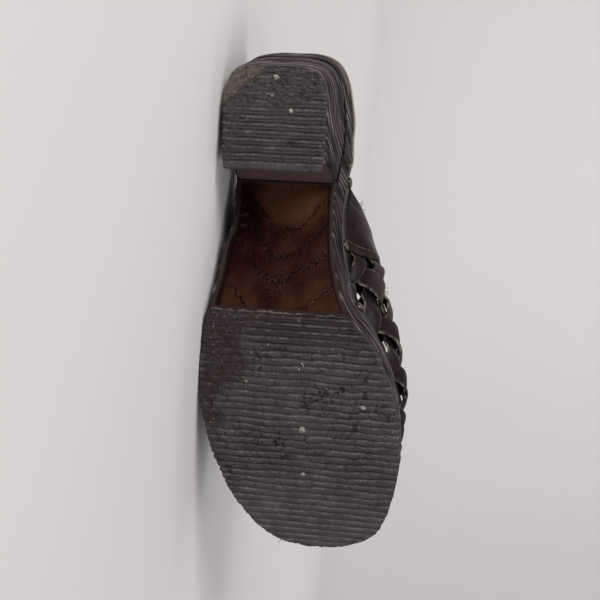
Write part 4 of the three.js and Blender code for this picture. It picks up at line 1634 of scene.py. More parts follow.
@dataclass
class Insole:
    """Tan sock on the platform, dished by the foot."""

    finish: Sock
    seed: int = 83
    thick: float = 3.0
    round_off: float = 1.4
    lap: float = 0.2
    columns: int = 44
    rows: int = 250
    rim: Pairs = (
        (0.0, 0.0), (-0.1, 0.5), (0.05, 0.75), (0.45, 0.93), (1.0, 1.0),
    )
    prints: tuple[Zone, ...] = (
        Zone(38, 3, 30, 17), Zone(178, -22, 30, 30), Zone(196, 6, 16, 14), Zone(232, -26, 13, 16),
    )

    def side(self, u: Array) -> list[Array]:
        """Draws the rounded edge along one side.

        Args:
            u: Shares of the way round the outline.

        Returns:
            Lines of points from the platform up to the sock's face.
        """
        edge = SHOE.outline.edge(u)
        x = edge.x
        free = SHOE.flare(x) * SHOE.ledge(x) - SHOE.SEAT_STEP + self.lap * ease(x, 18.0, 40.0)
        held = ease(x, 57.0, 61.5)
        offset = free * (1.0 - held) + SHOE.rebate_wall(x) * held - SHOE.GAP
        lines = []
        for inset, rise in self.rim:
            at_x, at_y = edge.beside(offset - inset * self.round_off)
            lines.append(stack(at_x, at_y, SHOE.top(at_x) + SHOE.GAP + rise * self.thick))
        return lines

    def build(self) -> Piece:
        """Lays the sock and dresses it.

        Returns:
            The piece.
        """
        middle = np.linspace(0.3, 17.7, self.rows)
        way = np.concatenate([[0.04, 0.1, 0.18], middle, [17.82, 17.9, 17.96]])
        way = way / (2.0 * SHOE.outline.rows)
        inner, outer = self.side(way), self.side(1.0 - way)
        share = np.linspace(0.0, 1.0, self.columns)[None, :, None]
        face = outer[-1][:, None] + (inner[-1] - outer[-1])[:, None] * share
        x, y = face[..., 0], face[..., 1]
        foot = covered(self.prints, x, y)
        face[..., 2] -= 0.9 * foot + 0.08 * Noise(self.seed).rough(x / 5.0, y / 5.0)
        rise, fall = np.stack(outer[:-1], axis=1), np.stack(inner[-2::-1], axis=1)
        rings = np.concatenate([rise, face, fall], axis=1)
        stain, side = np.zeros(rings.shape[:2]), np.ones(rings.shape[:2])
        on_face = slice(rise.shape[1], rise.shape[1] + self.columns)
        stain[:, on_face] = 0.75 * foot
        side[1:-1, on_face] = 0.0
        shape = Shape(rings, {"foot": stain, "side": side})
        return shape.piece("sock", self.finish.material(), "sock", "insole")


class Last:
    """Shape of the foot inside the upper, as a map from the flat pattern to the shoe."""

    ROWS = Table([
        (50, 4, 160, 1.5, 1.5, 14), (80, 3, 142, 7.3, 3, 18), (100, 0, 125, 11.7, 4.5, 24),
        (116, -4, 110, 13.8, 5, 26), (135, -8, 95, 5.8, 4.5, 20), (152, -12, 85, 3, 3.2, 14),
        (170, -16, 78, 1.4, 2, 12), (188, -19, 75, 0.5, 1.5, 12),
    ])
    FAN = 188.0
    CROWN = 0.9
    SWELL_START = 1.6
    STEP = 1.0
    GRID_X = (40.0, 300.0)
    GRID_Y = (-140.0, 140.5)
    COLLAR_TOP = 116.0
    COLLAR_REAR = 60.0
    COLLAR_BEND = 1.5
    BAND = 17.0
    BAND_SPREAD = 13.0

    def __init__(self) -> None:
        """Wraps a fine grid of the flat pattern onto the last."""
        self.measure()
        xs, ys = np.arange(*self.GRID_X, self.STEP), np.arange(*self.GRID_Y, self.STEP)
        flat_x, flat_y = np.meshgrid(xs, ys, indexing="ij")
        made = [self.wrap(row_x, row_y) for row_x, row_y in zip(flat_x, flat_y)]
        self.grid = np.stack([points for points, _ in made])
        self.run = np.stack([run for _, run in made])
        normal = np.cross(np.gradient(self.grid, axis=0), np.gradient(self.grid, axis=1))
        self.normal = normal / np.linalg.norm(normal, axis=-1, keepdims=True)
        fan = flat_x > self.FAN
        self.far = np.where(fan, np.hypot(flat_x - self.FAN, flat_y), np.abs(flat_y))

    def measure(self) -> None:
        """Measures how far the feather edge is from the ridge, all the way round."""
        edge = SHOE.outline.edge(np.linspace(0.0, 1.0, 1440, endpoint=False))
        x, y = edge.beside(SHOE.rebate_wall(edge.x))
        half = len(x) // 2
        self.inner = (np.maximum.accumulate(x[:half]), y[:half])
        self.outer = (np.maximum.accumulate(x[half:][::-1]), y[half:][::-1])
        middle = float(self.ROWS.follow(np.array(self.FAN)))
        angle = np.arctan2(y - middle, x - self.FAN)
        order = np.argsort(angle)
        self.fan = (angle[order], np.hypot(y - middle, x - self.FAN)[order])

    def wrap(self, flat_x: Array, flat_y: Array) -> tuple[Array, Array]:
        """Wraps flat points onto the last.

        Args:
            flat_x: Places on the pattern, along the shoe.
            flat_y: Places on the pattern, across it.

        Returns:
            The points in the shoe's frame, and the pattern's length on each ray.
        """
        x = np.minimum(flat_x, self.FAN)
        ridge_y, ridge_z = self.ROWS.follow(x, 1), self.ROWS.follow(x, 2)
        inner = ridge_y - np.interp(x, *self.inner)
        outer = np.interp(x, *self.outer) - ridge_y
        angle = np.arctan2(flat_y, np.maximum(flat_x - self.FAN, 1e-9))
        fanned = flat_x > self.FAN
        dir_x = np.where(fanned, np.cos(angle), 0.0)
        dir_y = np.where(fanned, np.sin(angle), np.where(flat_y < 0.0, -1.0, 1.0))
        straight = np.where(flat_y < 0.0, inner, outer)
        reach = np.where(fanned, np.interp(angle, *self.fan), straight) + SHOE.FIT
        foot = SHOE.top(x + dir_x * reach)
        outward = (dir_y + 1.0) / 2.0
        swell = self.ROWS.follow(x, 3) * (1.0 - outward) + self.ROWS.follow(x, 4) * outward
        swell_up = self.ROWS.follow(x, 5)
        turn = np.linspace(math.pi / 2.0, 0.0, 57)[:, None]
        out = (reach + swell) * np.maximum(np.cos(turn), 0.0) ** self.CROWN
        up = swell_up + (ridge_z - foot - swell_up) * np.maximum(np.sin(turn), 0.0) ** self.CROWN
        steps = np.linspace(0.0, 1.0, 9)[1:, None]
        low_up = swell_up + (self.SWELL_START - swell_up) * steps
        share = np.clip((low_up - self.SWELL_START) / (swell_up - self.SWELL_START), 0.0, 1.0)
        low_out = reach + swell * share * share * (3.0 - 2.0 * share)
        end_up = np.full((1, len(x)), 2.0 * SHOE.FIT - SHOE.REBATE_HEIGHT)
        out = np.concatenate([out, low_out, np.broadcast_to(reach, (1, len(x)))])
        up = np.concatenate([up, low_up, end_up])
        lengths = np.hypot(np.diff(out, axis=0), np.diff(up, axis=0))
        run = np.concatenate([np.zeros((1, len(x))), np.cumsum(lengths, axis=0)])
        far = np.where(fanned, np.hypot(flat_x - self.FAN, flat_y), np.abs(flat_y))
        i = np.clip((run < far).sum(axis=0), 1, len(run) - 1)
        column = np.arange(len(x))
        t = (far - run[i - 1, column]) / (run[i, column] - run[i - 1, column])
        at_out = out[i - 1, column] + (out[i, column] - out[i - 1, column]) * t
        at_up = up[i - 1, column] + (up[i, column] - up[i - 1, column]) * t
        return stack(x + dir_x * at_out, ridge_y + dir_y * at_out, foot + at_up), run[-1]

    def read(self, table: Array, flat_x: Array, flat_y: Array) -> Array:
        """Reads a table of the fine grid between its points.

        Args:
            table: Values on the grid.
            flat_x: Places on the pattern.
            flat_y: Places on the pattern.

        Returns:
            The values at the places.
        """
        at_x = np.clip((flat_x - self.GRID_X[0]) / self.STEP, 0.0, table.shape[0] - 1.001)
        at_y = np.clip((flat_y - self.GRID_Y[0]) / self.STEP, 0.0, table.shape[1] - 1.001)
        i, j = np.floor(at_x).astype(int), np.floor(at_y).astype(int)
        t, s = at_x - i, at_y - j
        if table.ndim == 3:
            t, s = t[..., None], s[..., None]
        near = table[i, j] * (1.0 - s) + table[i, j + 1] * s
        far = table[i + 1, j] * (1.0 - s) + table[i + 1, j + 1] * s
        return near * (1.0 - t) + far * t

    def off(self, flat_x: Array, flat_y: Array, height: Array | float) -> Array:
        """Finds points over the last.

        Args:
            flat_x: Places on the pattern.
            flat_y: Places on the pattern.
            height: Heights over the last.

        Returns:
            The points in the shoe's frame.
        """
        normal = self.read(self.normal, flat_x, flat_y)
        normal = normal / np.linalg.norm(normal, axis=-1, keepdims=True)
        return self.read(self.grid, flat_x, flat_y) + normal * np.asarray(height)[..., None]

    def to_edge(self, flat_x: Array, flat_y: Array) -> Array:
        """Gives how much of the pattern is left below each place."""
        return self.read(self.run - self.far, flat_x, flat_y)

    def collar(self, share: Array) -> Array:
        """Gives x of the collar edge at a share of the way down the side."""
        reach = self.COLLAR_TOP - self.COLLAR_REAR
        return self.COLLAR_TOP - reach * np.abs(share) ** self.COLLAR_BEND

    def to_collar(self, flat_x: Array, flat_y: Array) -> Array:
        """Gives how far each place is in front of the collar edge."""
        share = np.clip(np.abs(flat_y) / self.read(self.run, flat_x, flat_y), 0.0, 1.0)
        return np.where(flat_x > self.FAN, 99.0, flat_x - self.collar(share))

    def band(self, share: Array) -> Array:
        """Gives the width of the collar band, which grows towards the rand."""
        return self.BAND + self.BAND_SPREAD * ease(np.abs(share), 0.45, 0.92)

    def to_band(self, flat_x: Array, flat_y: Array) -> Array:
        """Gives how far each place is in front of the collar band."""
        share = np.clip(np.abs(flat_y) / self.read(self.run, flat_x, flat_y), 0.0, 1.0)
        return self.to_collar(flat_x, flat_y) - self.band(share)

    def down(self, flat_x: Array, share: Array) -> Array:
        """Gives the flat y at a share of the way down the side."""
        side = np.where(share < 0.0, -1.0, 1.0)
        return share * self.read(self.run, flat_x, side)


CREASES = (
    Crease(150, -34, 82, 34, 2.6, 0.8), Crease(158, 22, 98, 36, 2.4, 0.8),
    Crease(143, 8, 90, 44, 3.0, 0.7), Crease(136, -46, 75, 26, 2.2, 0.7),
    Crease(166, -8, 92, 40, 2.8, 0.6), Crease(130, 40, 104, 28, 2.4, 0.7),
    Crease(120, -60, 66, 22, 2.0, 0.6), Crease(118, 58, 112, 22, 2.0, 0.6),
    Crease(176, 30, 100, 22, 2.2, 0.5),
)


def crease_depth(flat_x: Array, flat_y: Array) -> Array:
    """Adds up the creases of the upper.

    Args:
        flat_x: Places on the pattern.
        flat_y: Places on the pattern.

    Returns:
        Depth of the trough, less than 0 on the soft ridges beside it.
    """
    total = np.zeros(np.broadcast(flat_x, flat_y).shape)
    for crease in CREASES:
        turn = math.radians(crease.turn)
        along = (flat_x - crease.x) * math.cos(turn) + (flat_y - crease.y) * math.sin(turn)
        across = (flat_y - crease.y) * math.cos(turn) - (flat_x - crease.x) * math.sin(turn)
        across = across + 0.06 * crease.width * np.sin(along / 4.0)
        window = bell(along, crease.length / 2.0)
        beside = bell(np.abs(across) - crease.width, crease.width / 2.0)
        trough = bell(across, crease.width / 2.0) - 0.45 * beside
        total = total + crease.depth * window * trough
    return total


@dataclass
class WovenUpper:
    """Straps woven on the bias over the last."""

    last: Last
    finish: Leather
    strap: float = 9.2
    pitch: float = 15.5
    thick: float = 2.0
    step: float = 1.25
    ring: int = 18
    middle: float = 2.1
    wave: float = 1.15
    arch: float = 2.3
    tucked_middle: float = 0.95
    tucked_wave: float = 0.2
    reach: float = 196.0
    straps: int = 11
    margin: int = 9
    least_steps: int = 6
    shortest: float = 4.0

    def flat(self, way: Weave, along: Array, across: Array) -> tuple[Array, Array]:
        """Turns places along and across the straps of a kind into x and y on the pattern."""
        a, b = (along, across) if way is Weave.OUTWARD else (across, along)
        return Last.FAN + (a - b) * math.sqrt(0.5), (a + b) * math.sqrt(0.5)

    def inside(self, x: Array, y: Array) -> Array:
        """Tells which places lie on the cut pattern."""
        on_grid = (x > 46.0) & (np.abs(y) < 138.0)
        return on_grid & (self.last.to_edge(x, y) > 0.8) & (self.last.to_collar(x, y) > 1.2)

    def stretches(self, way: Weave, index: int, along: Array) -> list[tuple[int, int]]:
        """Finds the stretches of a strap that lie on the pattern.

        Args:
            way: The way the strap runs.
            index: Number of the strap among its kind.
            along: Steps along the strap.

        Returns:
            First and last step of each stretch.
        """
        held = self.inside(*self.flat(way, along, np.full_like(along, index * self.pitch)))
        change = np.flatnonzero(np.diff(np.concatenate([[0], held.astype(int), [0]])))
        pairs = zip(change[::2], change[1::2])
        return [(int(a), int(b)) for a, b in pairs if b - a > self.least_steps]

    def lay(
        self, shape: Shape, way: Weave, index: int, along: Array, span: tuple[int, int],
    ) -> None:
        """Lays one stretch of a strap over the last.

        Args:
            shape: Mesh to add it to.
            way: The way the strap runs.
            index: Number of the strap among its kind.
            along: Steps along the strap.
            span: First and last step of the stretch.
        """
        noise = Noise(101 + index + (40 if way is Weave.INWARD else 0))
        turn = turns(self.ring)
        wide = np.sign(np.cos(turn)) * np.abs(np.cos(turn)) ** 0.45
        high = np.sign(np.sin(turn)) * np.abs(np.sin(turn)) ** 0.8
        first, last = max(span[0] - self.margin, 0), min(span[1] + self.margin, len(along))
        rows = along[first:last]
        width = self.strap / 2.0 * (1.0 + 0.05 * noise.at(rows / 11.0, 2.0))
        shift = index * self.pitch + 0.35 * noise.at(rows / 19.0, 6.0)
        across = shift[:, None] + width[:, None] * wide
        spread = np.repeat(rows[:, None], self.ring, axis=1)
        held = self.inside(*self.flat(way, spread, across))
        begin, end = np.argmax(held, axis=0), len(rows) - 1 - np.argmax(held[::-1], axis=0)
        starts = np.where(held.any(axis=0), rows[begin], rows[0])
        stops = np.where(held.any(axis=0), rows[end], rows[-1])
        spread = np.clip(spread, starts, stops)
        if np.ptp(spread, axis=0).max() <= self.shortest:
            return
        x, y = self.flat(way, spread, across)
        left = self.last.to_edge(x, y)
        tuck = ease(left, 9.5, 14.5) * ease(self.last.to_band(x, y), -0.5, 5.5)
        over = np.cos(math.pi * (spread / self.pitch + index))
        over = np.sign(over) * np.abs(over) ** 0.75 * (1.0 if way is Weave.OUTWARD else -1.0)
        middle = self.tucked_middle + (self.middle - self.tucked_middle) * tuck
        wave = self.tucked_wave + (self.wave - self.tucked_wave) * tuck
        crease = crease_depth(x, y)
        crown = 0.28 * (1.0 - np.square(wide)) * np.sign(high)
        thick = self.thick / 2.0 * high * (0.75 + 0.25 * tuck) + crown * tuck
        ripple = 0.12 * noise.rough(spread / 5.0, across / 4.0)
        arch = self.arch * tuck * np.maximum(over, 0.0) * (1.0 - ease(left, 24.0, 60.0))
        arch = arch * (1.0 - 0.95 * ease(x, 174.0, 198.0))
        height = middle + wave * over + arch + thick - tuck * (0.9 * crease - ripple)
        points = self.last.off(x, y, np.maximum(height, -0.35))
        edge = ease(np.abs(wide), 0.86, 0.99)
        edge = edge * (0.4 + 0.8 * noise.at(spread / 1.6, index + np.sign(wide)))
        side, face = np.abs(y) / self.last.read(self.last.run, x, y), high > 0.0
        # Painted highlight: a band of sheen part way down each side, on the outer faces where the
        # straps pass over, fading towards the toe.
        sheen = 0.4 * bell(side - 0.62, 0.08) * face * ease(over, -0.6, 0.4)
        sheen = sheen * (1.0 - ease(x, 150.0, 175.0))
        rub = np.clip(0.2 + 0.45 * over - 1.2 * crease, 0.0, 1.0) * face
        # Painted shade: the inner faces and the stretches that dip under other straps take the deep
        # colour.
        deep = np.clip(0.75 * (high < -0.2) + 0.8 * (1.0 - ease(over, -1.0, 0.1)), 0.0, 0.92)
        deep = deep * (np.abs(wide) < 0.96)
        marks = {"edge": np.clip(edge, 0.0, 1.0), "rub": rub, "sheen": sheen, "deep": deep}
        shape.tube(points, marks)

    def build(self) -> Piece:
        """Weaves all straps into one piece and dresses it.

        Returns:
            The piece.
        """
        shape = Shape()
        along = np.arange(-self.reach, self.reach, self.step)
        for way in Weave:
            for index in range(-self.straps, self.straps + 1):
                for span in self.stretches(way, index, along):
                    self.lay(shape, way, index, along, span)
        material = self.finish.material()
        return shape.piece("woven_straps", material, "strap_leather", "upper", merge=True)


@dataclass
class CollarBand:
    """Band folded over the collar edge of the weave."""

    last: Last
    finish: Leather
    seed: int = 131
    end: float = 0.935
    steps: int = 300
    fold: Pairs = (
        (17.2, 2.35), (17.7, 2.9), (17.0, 3.45), (14.0, 3.6), (10.0, 3.85), (6.0, 4.05),
        (2.5, 4.05), (-0.4, 3.75), (-2.2, 2.8), (-2.8, 1.2), (-2.3, -0.5), (-0.8, -1.5),
        (1.5, -1.85), (5.0, -1.8), (7.8, -1.65), (8.2, -1.1), (7.6, -0.65), (4.0, -0.6),
        (0.6, -0.6), (-0.5, -0.4), (-0.8, 0.8), (-0.5, 2.1), (1.0, 2.4), (6.0, 2.4),
        (12.0, 2.38),
    )

    def build(self) -> Piece:
        """Folds the band and dresses it.

        Returns:
            The piece.
        """
        share = np.linspace(-self.end, self.end, self.steps)
        noise = Noise(self.seed)
        fold = np.array(self.fold)
        inward = fold[:, 0] + 0.0 * share[:, None]
        front = ease(inward, 12.0, 17.0)
        spread = (self.last.band(share) / Last.BAND)[:, None]
        inward = np.where(inward > 0.0, inward * spread, inward)
        inward = inward + front * (0.5 * noise.rough(share * 24.0, 1.0)[:, None])
        x = self.last.collar(share)[:, None] + inward
        y = self.last.down(x, np.repeat(share[:, None], len(fold), axis=1))
        outer = (fold[:, 1] > 2.5) | (fold[:, 0] < -1.0)
        soft = crease_depth(x, y) + 0.2 * noise.at(x / 8.0, y / 11.0)
        height = fold[:, 1] - outer * 0.6 * soft * ease(np.abs(inward), 0.0, 6.0)
        tuck = ease(self.last.to_edge(x, y), 9.5, 15.0)
        height = np.where(height > 0.0, height * (0.47 + 0.53 * tuck), height)
        rub = np.clip(0.25 + 0.4 * noise.rough(x / 6.0, y / 14.0), 0.0, 1.0) * outer
        # Painted highlight: a band of sheen part way down each side of the band's outer face.
        sheen = bell(np.abs(share)[:, None] - 0.66 + 0.004 * inward, 0.1)
        sheen = sheen * (1.0 - ease(inward / spread, 11.0, 15.0))
        sheen = sheen * np.clip(0.75 + 0.3 * noise.rough(x / 5.0, y / 5.0), 0.0, 0.9) * outer
        raw = 0.25 * ease(inward / spread, 16.2, 17.2)
        raw = raw * (0.6 + 0.4 * noise.at(y / 2.0, 3.0)) * outer
        marks = {
            "rub": rub,
            "sheen": sheen,
            "edge": np.clip(raw, 0.0, 1.0),
            # Painted shade on the inner layers of the fold.
            "deep": 0.6 * ~outer * np.ones_like(x),
        }
        shape = Shape(self.last.off(x, y, height), marks)
        return shape.piece("collar_fold", self.finish.material(), "band_leather", "collar_band")


@dataclass
class Stitching:
    """Sunken stitches along both edges of the collar band."""

    last: Last
    finish: Speckled
    lines: Pairs = ((14.9, 3.62), (3.2, 4.12))
    end: float = 0.84
    count: int = 74
    half_length: float = 0.95
    radius: float = 0.3
    sink: float = 0.16
    points: int = 6

    def stitch(self, middle: float, inward: float, rise: float) -> Array:
        """Draws one stitch.

        Args:
            middle: Its place, as a share of the way down the side.
            inward: Its distance from the collar edge.
            rise: Its height over the last.

        Returns:
            Rings of points.
        """
        last, turn = self.last, turns(self.points)
        along = np.linspace(-1.0, 1.0, self.points)
        start = last.collar(np.array(middle)) + inward
        length = last.read(last.run, start, np.array(math.copysign(1.0, middle)))
        share = middle + along * self.half_length / length
        thin = self.radius * np.sqrt(np.maximum(1.0 - along**2, 0.02))[:, None]
        front = inward * (last.band(share) / Last.BAND)[:, None]
        x = last.collar(share)[:, None] + front + thin * np.cos(turn)
        y = last.down(x, np.repeat(share[:, None], len(turn), axis=1))
        soft = 0.6 * crease_depth(x, y)
        return last.off(x, y, rise - soft + thin * np.sin(turn) - self.sink * along[:, None] ** 2)

    def build(self) -> Piece:
        """Sets the stitches one by one and dresses them.

        Returns:
            The piece.
        """
        shape = Shape()
        for inward, rise in self.lines:
            for middle in np.linspace(-self.end, self.end, self.count):
                shape.tube(self.stitch(middle, inward, rise))
        return shape.piece("band_stitches", self.finish.material(), "band_leather")


@dataclass
class Rand:
    """Narrow strip that covers the lasted edge of the upper."""

    finish: Leather
    seed: int = 151
    thick: float = 1.5
    rise: float = 1.1
    rear: float = 57.0
    steps: int = 620
    section: Pairs = (
        (0.0, 0.0), (0.6, -0.05), (1.0, 0.04), (1.06, 0.3), (1.06, 0.6), (1.0, 0.86),
        (0.8, 0.97), (0.4, 1.0), (0.0, 0.98),
    )

    def build(self) -> Piece:
        """Wraps the rand round the platform and dresses it.

        Returns:
            The piece.
        """
        outline, noise = SHOE.outline, Noise(self.seed)
        ends = [float(outline.station(np.array(self.rear), side)) for side in Side]
        u = np.linspace(*ends, self.steps)
        edge = outline.edge(u)
        wave = 0.14 * noise.rough(u * 90.0, 2.0) + 0.1 * noise.at(u * 300.0, 5.0)
        lines, raw = [], []
        for out, up in self.section:
            offset = SHOE.rand_inside(edge.x) + self.thick * out + (wave if out > 0.5 else 0.0)
            x, y = edge.beside(offset)
            low, high = SHOE.ledge(x) + SHOE.GAP, SHOE.top(x) + self.rise
            z = low + (high - low) * np.clip(up, 0.0, 1.0) + (0.25 * wave if up > 0.9 else 0.0)
            lines.append(stack(x, y, z))
            raw.append(np.full(len(u), 0.55 if up > 0.95 else 0.0))
        rub = np.clip(0.45 + 0.8 * noise.rough(u * 120.0, 8.0), 0.0, 1.0)
        rub = np.repeat(rub[:, None], len(self.section), axis=1)
        shape = Shape(np.stack(lines, axis=1), {"edge": np.stack(raw, axis=1), "rub": rub})
        return shape.piece("rand_strip", self.finish.material(), "band_leather", "rand")


@dataclass
class Tacks:
    """Domed tack heads along the rand."""

    finish: Tarnished
    places: tuple[float, ...] = (66.0, 99.0, 127.0)
    radius: float = 3.1
    rise: float = 1.15
    drop: float = 4.0
    rim: float = 0.4
    points: int = 28
    skirt: Pairs = ((0.35, -0.3), (1.0, -0.3), (1.05, 0.0), (1.04, 0.2))

    def head(self, x: float, side: Side, seed: int) -> Shape:
        """Turns one dented dome.

        Args:
            x: Place along the shoe.
            side: Side of the foot.
            seed: Number that sets its dents apart.

        Returns:
            The dome on the rand.
        """
        edge = SHOE.outline.edge(SHOE.outline.station(np.array([x]), side))
        profile = [*self.skirt, (0.98, self.rim)]
        for lean in np.linspace(0.25, 1.45, 7):
            profile.append((math.cos(lean), self.rim + self.rise * math.sin(lean)))
        radii, rises = np.array(profile).T[..., None]
        turn, far = turns(self.points), radii * self.radius
        dent = 0.1 * Noise(seed).at(2.0 * np.cos(turn) + 5.0, far * 0.8 + 2.0 * np.sin(turn))
        out, across = rises + dent * (far < 2.9), far * np.cos(turn)
        seat_x, seat_y = edge.beside(SHOE.rand_inside(edge.x) + Rand.thick + SHOE.FIT)
        points = stack(
            seat_x + edge.out_x * out - edge.out_y * across,
            seat_y + edge.out_y * out + edge.out_x * across,
            SHOE.top(seat_x) - self.drop + far * np.sin(turn),
        )
        return Shape(points, {"rim": np.repeat(ease(far, 2.4, 3.1), self.points, axis=1)})

    def build(self) -> list[Piece]:
        """Sets the six heads and dresses them.

        Returns:
            The pieces.
        """
        material = self.finish.material()
        made = []
        for number, x in enumerate(self.places, 1):
            for side in Side:
                name = f"{side.name.lower()}_{number}"
                head = self.head(x, side, 7 * number + side.value)
                made.append(head.piece(f"tack_head_{name}", material, "tack_metal", f"tack_{name}"))
        return made


@dataclass
class Grit:
    """Stones caught in the ribs."""

    finish: Speckled
    seed: int = 200
    rows: int = 6
    points: int = 9
    stones: tuple[Stone, ...] = (
        Stone(168.9, -45.6, 1.25, 0.6), Stone(183.2, -14.9, 1.75, 0.55),
        Stone(208.7, -15.7, 1.15, 0.6), Stone(159.3, 14.1, 0.75, 0.6),
        Stone(8.6, 2.2, 1.35, 0.6), Stone(17.0, 3.9, 0.6, 0.7),
        Stone(23.8, -5.3, 1.1, 0.6), Stone(151.0, -12.6, 0.55, 0.5),
    )
    straw: Fibre = Fibre((147.6, -13.6, -0.1), (3.4, -0.6, 0.0), 1.0)

    def build(self) -> Piece:
        """Chips each stone and dresses them.

        Returns:
            The piece.
        """
        shape = Shape()
        tilt = np.linspace(0.15, math.pi - 0.15, self.rows)[:, None]
        turn = turns(self.points)[None]
        for number, stone in enumerate(self.stones):
            noise = Noise(self.seed + number)
            chip = noise.at(1.6 * np.cos(turn) + 3.0, 1.6 * np.sin(turn) + tilt * 1.2)
            size = stone.size * (1.0 + 0.45 * chip)
            x = stone.x + size * np.sin(tilt) * np.cos(turn)
            y = stone.y + size * np.sin(tilt) * np.sin(turn) * 1.15
            lift = float(SHOE.ground(np.array(stone.x))) + 0.1
            shape.tube(stack(x, y, lift - stone.flat * size * np.cos(tilt)))
        shape.tube(self.straw.tube(0.5))
        return shape.piece("grit", self.finish.material(), None)


@dataclass
class LooseThreads:
    """Frayed threads at the collar, at one strap and at the toe of the tread."""

    finish: Speckled
    radius: float = 0.24
    fibres: tuple[Fibre, ...] = (
        Fibre((80, -30.4, 87.5), (-1.9, -2.0, 0.2), 0.3),
        Fibre((81.5, -31, 89), (-2.6, -1.5, 0.4), -0.2),
        Fibre((84, -31.8, 92.2), (-1.2, -2.0, 0.2), 0.2),
        Fibre((123.6, -47.4, 72), (-0.8, -3.2, 0.3), 0.3),
        Fibre((124.4, -47.6, 71.5), (0.5, -3.8, 0.1), -0.3),
        Fibre((125.2, -47.8, 71), (1.4, -3.0, 0.2), 0.3),
        Fibre((249.4, -3.2, 14.1), (3.2, 0.9, 0.1), 0.4),
    )

    def build(self) -> Piece:
        """Draws the threads out and dresses them.

        Returns:
            The piece.
        """
        shape = Shape()
        for fibre in self.fibres:
            shape.tube(fibre.tube(self.radius))
        return shape.piece("loose_threads", self.finish.material(), None)


@dataclass
class GlueLine:
    """Ragged line of dried glue along the back edge of the tread."""

    finish: Speckled
    seed: int = 171
    back: float = Shoe.TREAD_BACK
    height: float = 3.2
    steps: int = 220
    points: int = 8

    def build(self) -> Piece:
        """Squeezes the line out of the joint and dresses it.

        Returns:
            The piece.
        """
        noise, turn = Noise(self.seed), turns(self.points)
        low, high = (float(v) for v in SHOE.outline.chord(np.array(self.back)))
        y = np.linspace(low + 1.0, high - 2.0, self.steps)
        fat = np.clip(0.45 + 0.9 * noise.rough(y / 2.6, 1.0), 0.1, 1.15)[:, None]
        x = self.back - 0.25 + 0.5 * noise.rough(y / 3.1, 6.0)[:, None]
        x = x - 0.9 * fat * np.cos(turn)
        z = self.height + 0.4 * noise.at(y / 5.0, 9.0)[:, None] + 0.8 * fat * np.sin(turn)
        return Shape(stack(x, y[:, None], z)).piece("glue_line", self.finish.material(), None)


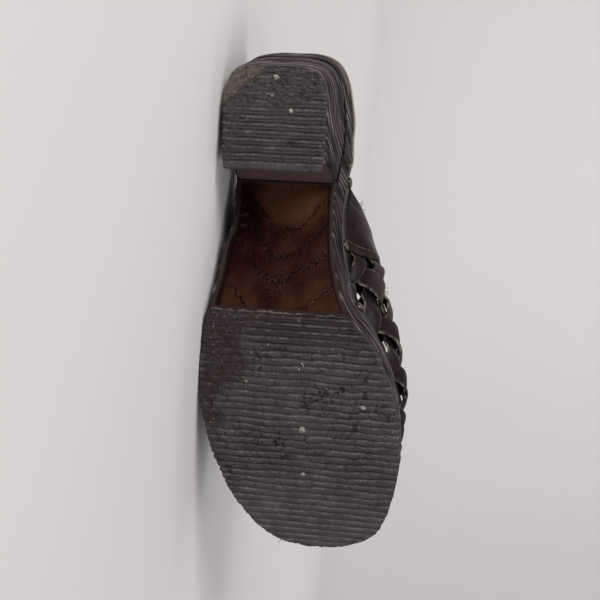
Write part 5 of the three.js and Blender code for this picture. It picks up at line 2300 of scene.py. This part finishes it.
@dataclass
class Studio:
    """Plain pale floor with a far sweep, soft light and the camera."""

    floor_finish: Speckled
    focal: float = 1102.79
    image: float = 600.0
    centre: tuple[float, float] = (98.0, -6.0)
    place: Point = (-10.275, -92.777, -521.481)
    forward: Point = (0.23861, 0.23489, 0.94228)
    right: Point = (-0.00704, -0.96986, 0.24355)
    down: Point = (0.97109, -0.06474, -0.22976)
    sky: Colour = (0.92, 0.905, 0.90)
    sky_strength: float = 0.42
    lamp_tint: Colour = (1.0, 0.985, 0.97)
    lamps: tuple[Lamp, ...] = (
        Lamp("key", (-1.55, -1.4, 0.75), (0.0, 0.0, 0.05), 1.0, 50.0),
        Lamp("fill", (0.7, -1.9, 1.0), (0.0, 0.0, 0.05), 1.6, 13.0),
        Lamp("sweep", (0.3, 0.9, 2.4), (0.0, 3.6, 0.9), 1.6, 35.0),
    )
    floor_side: float = 6.0
    floor_front: float = -5.0
    sweep_start: float = 2.2
    sweep_radius: float = 1.2
    sweep_top: float = 6.0

    def floor(self) -> None:
        """Lays the floor, which sweeps up far behind the shoe."""
        radius, start = self.sweep_radius, self.sweep_start
        turn = np.linspace(0.0, math.pi / 2.0, 24)
        profile = [(self.floor_front, 0.0), (start, 0.0)]
        profile += [(start + radius * math.sin(t), radius * (1.0 - math.cos(t))) for t in turn[1:]]
        profile.append((start + radius, self.sweep_top))
        mesh = bpy.data.meshes.new("floor")
        points = [(x, y, z) for x in (-self.floor_side, self.floor_side) for y, z in profile]
        count = len(profile)
        faces = [(i, count + i, count + i + 1, i + 1) for i in range(count - 1)]
        mesh.from_pydata(points, [], faces)
        mesh.shade_smooth()
        floor = bpy.data.objects.new("floor", mesh)
        bpy.context.scene.collection.objects.link(floor)
        mesh.materials.append(self.floor_finish.material())

    def light(self, lamp: Lamp) -> None:
        """Hangs one soft square light.

        Args:
            lamp: The light to hang.
        """
        data = bpy.data.lights.new(lamp.name, "AREA")
        data.size = lamp.size
        data.energy = lamp.power
        data.color = self.lamp_tint
        holder = bpy.data.objects.new(lamp.name, data)
        holder.location = lamp.place
        holder.rotation_mode = "QUATERNION"
        way = Vector(lamp.aim) - Vector(lamp.place)
        holder.rotation_quaternion = way.to_track_quat("-Z", "Y")
        bpy.context.scene.collection.objects.link(holder)

    def world(self) -> None:
        """Sets the even light from all round."""
        world = bpy.data.worlds.new("studio")
        world.use_nodes = True
        background = next(n for n in world.node_tree.nodes if n.type == "BACKGROUND")
        background.inputs["Color"].default_value = (*self.sky, 1.0)
        background.inputs["Strength"].default_value = self.sky_strength
        bpy.context.scene.world = world

    def camera(self) -> None:
        """Places the camera at the photograph's angle to the shoe."""
        forward, right, down = (LIE.direction(way) for way in (self.forward, self.right, self.down))
        aside, below = (shift / self.focal for shift in self.centre)
        look = (forward + right * aside + down * below).normalized()
        side = (right - look * right.dot(look)).normalized()
        up = side.cross(look)
        turn = Matrix((side, up, -look)).transposed()
        data = bpy.data.cameras.new("camera")
        data.sensor_width = 36.0
        data.lens = self.focal * data.sensor_width / self.image
        data.clip_start, data.clip_end = 0.01, 50.0
        holder = bpy.data.objects.new("camera", data)
        place = LIE.points(np.array([self.place]))[0]
        holder.matrix_world = Matrix.Translation(Vector(place)) @ turn.to_4x4()
        bpy.context.scene.collection.objects.link(holder)
        bpy.context.scene.camera = holder
        LOG.info("camera at %s", [round(float(v), 4) for v in place])

    def build(self) -> None:
        """Sets up floor, lights, world and camera."""
        self.floor()
        self.world()
        for lamp in self.lamps:
            self.light(lamp)
        self.camera()
        bpy.context.scene.view_settings.view_transform = "Standard"


def main() -> None:
    """Builds the mule piece by piece."""
    logging.basicConfig(level=logging.INFO, format="%(name)s: %(message)s")
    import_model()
    straps = Leather(
        "strap_leather", face=(0.0068, 0.0026, 0.0033), sheen=(0.092, 0.062, 0.067),
    )
    band = Leather(
        "band_leather", face=(0.0066, 0.0024, 0.0030), rubbed=(0.024, 0.0155, 0.0165),
        raw=(0.06, 0.045, 0.042), sheen=(0.056, 0.041, 0.044), roughness=0.42,
    )
    strip = Leather(
        "rand_leather", face=(0.034, 0.027, 0.028), rubbed=(0.090, 0.080, 0.082),
        raw=(0.11, 0.10, 0.10),
    )
    stitch = Speckled("stitch_thread", (0.085, 0.066, 0.062), (0.035, 0.026, 0.025))
    stone = Speckled("grit_stone", (0.24, 0.225, 0.205), (0.085, 0.078, 0.07), 1100.0)
    thread = Speckled("frayed_thread", (0.11, 0.09, 0.085), (0.04, 0.03, 0.03), 1500.0)
    glue = Speckled("dried_glue", (0.10, 0.072, 0.05), (0.03, 0.02, 0.015), 1500.0)
    floor = Speckled("studio_floor", (0.70, 0.685, 0.69), (0.69, 0.675, 0.68), 2.0, 0.8)
    last = Last()
    platform = Platform(GrainedWall("moulded_wall"), ShankGloss("shank_gloss"))
    pieces = [
        ForefootTread(Rubber("tread_rubber")).build(),
        HeelLift(Rubber("lift_rubber", rib=(0.055, 0.047, 0.049))).build(),
        platform.walls(),
        platform.shank(),
        HeelBlock(GrainedWall("heel_wall")).build(),
        Insole(Sock("sock_leather")).build(),
        WovenUpper(last, straps).build(),
        CollarBand(last, band).build(),
        Stitching(last, stitch).build(),
        Rand(strip).build(),
        *Tacks(Tarnished("tack_metal")).build(),
        Grit(stone).build(),
        LooseThreads(thread).build(),
        GlueLine(glue).build(),
    ]
    for piece in pieces:
        LOG.info("%s: %d faces", piece.name, len(piece.data.polygons))
    Studio(floor).build()


if __name__ == "__main__":
    main()
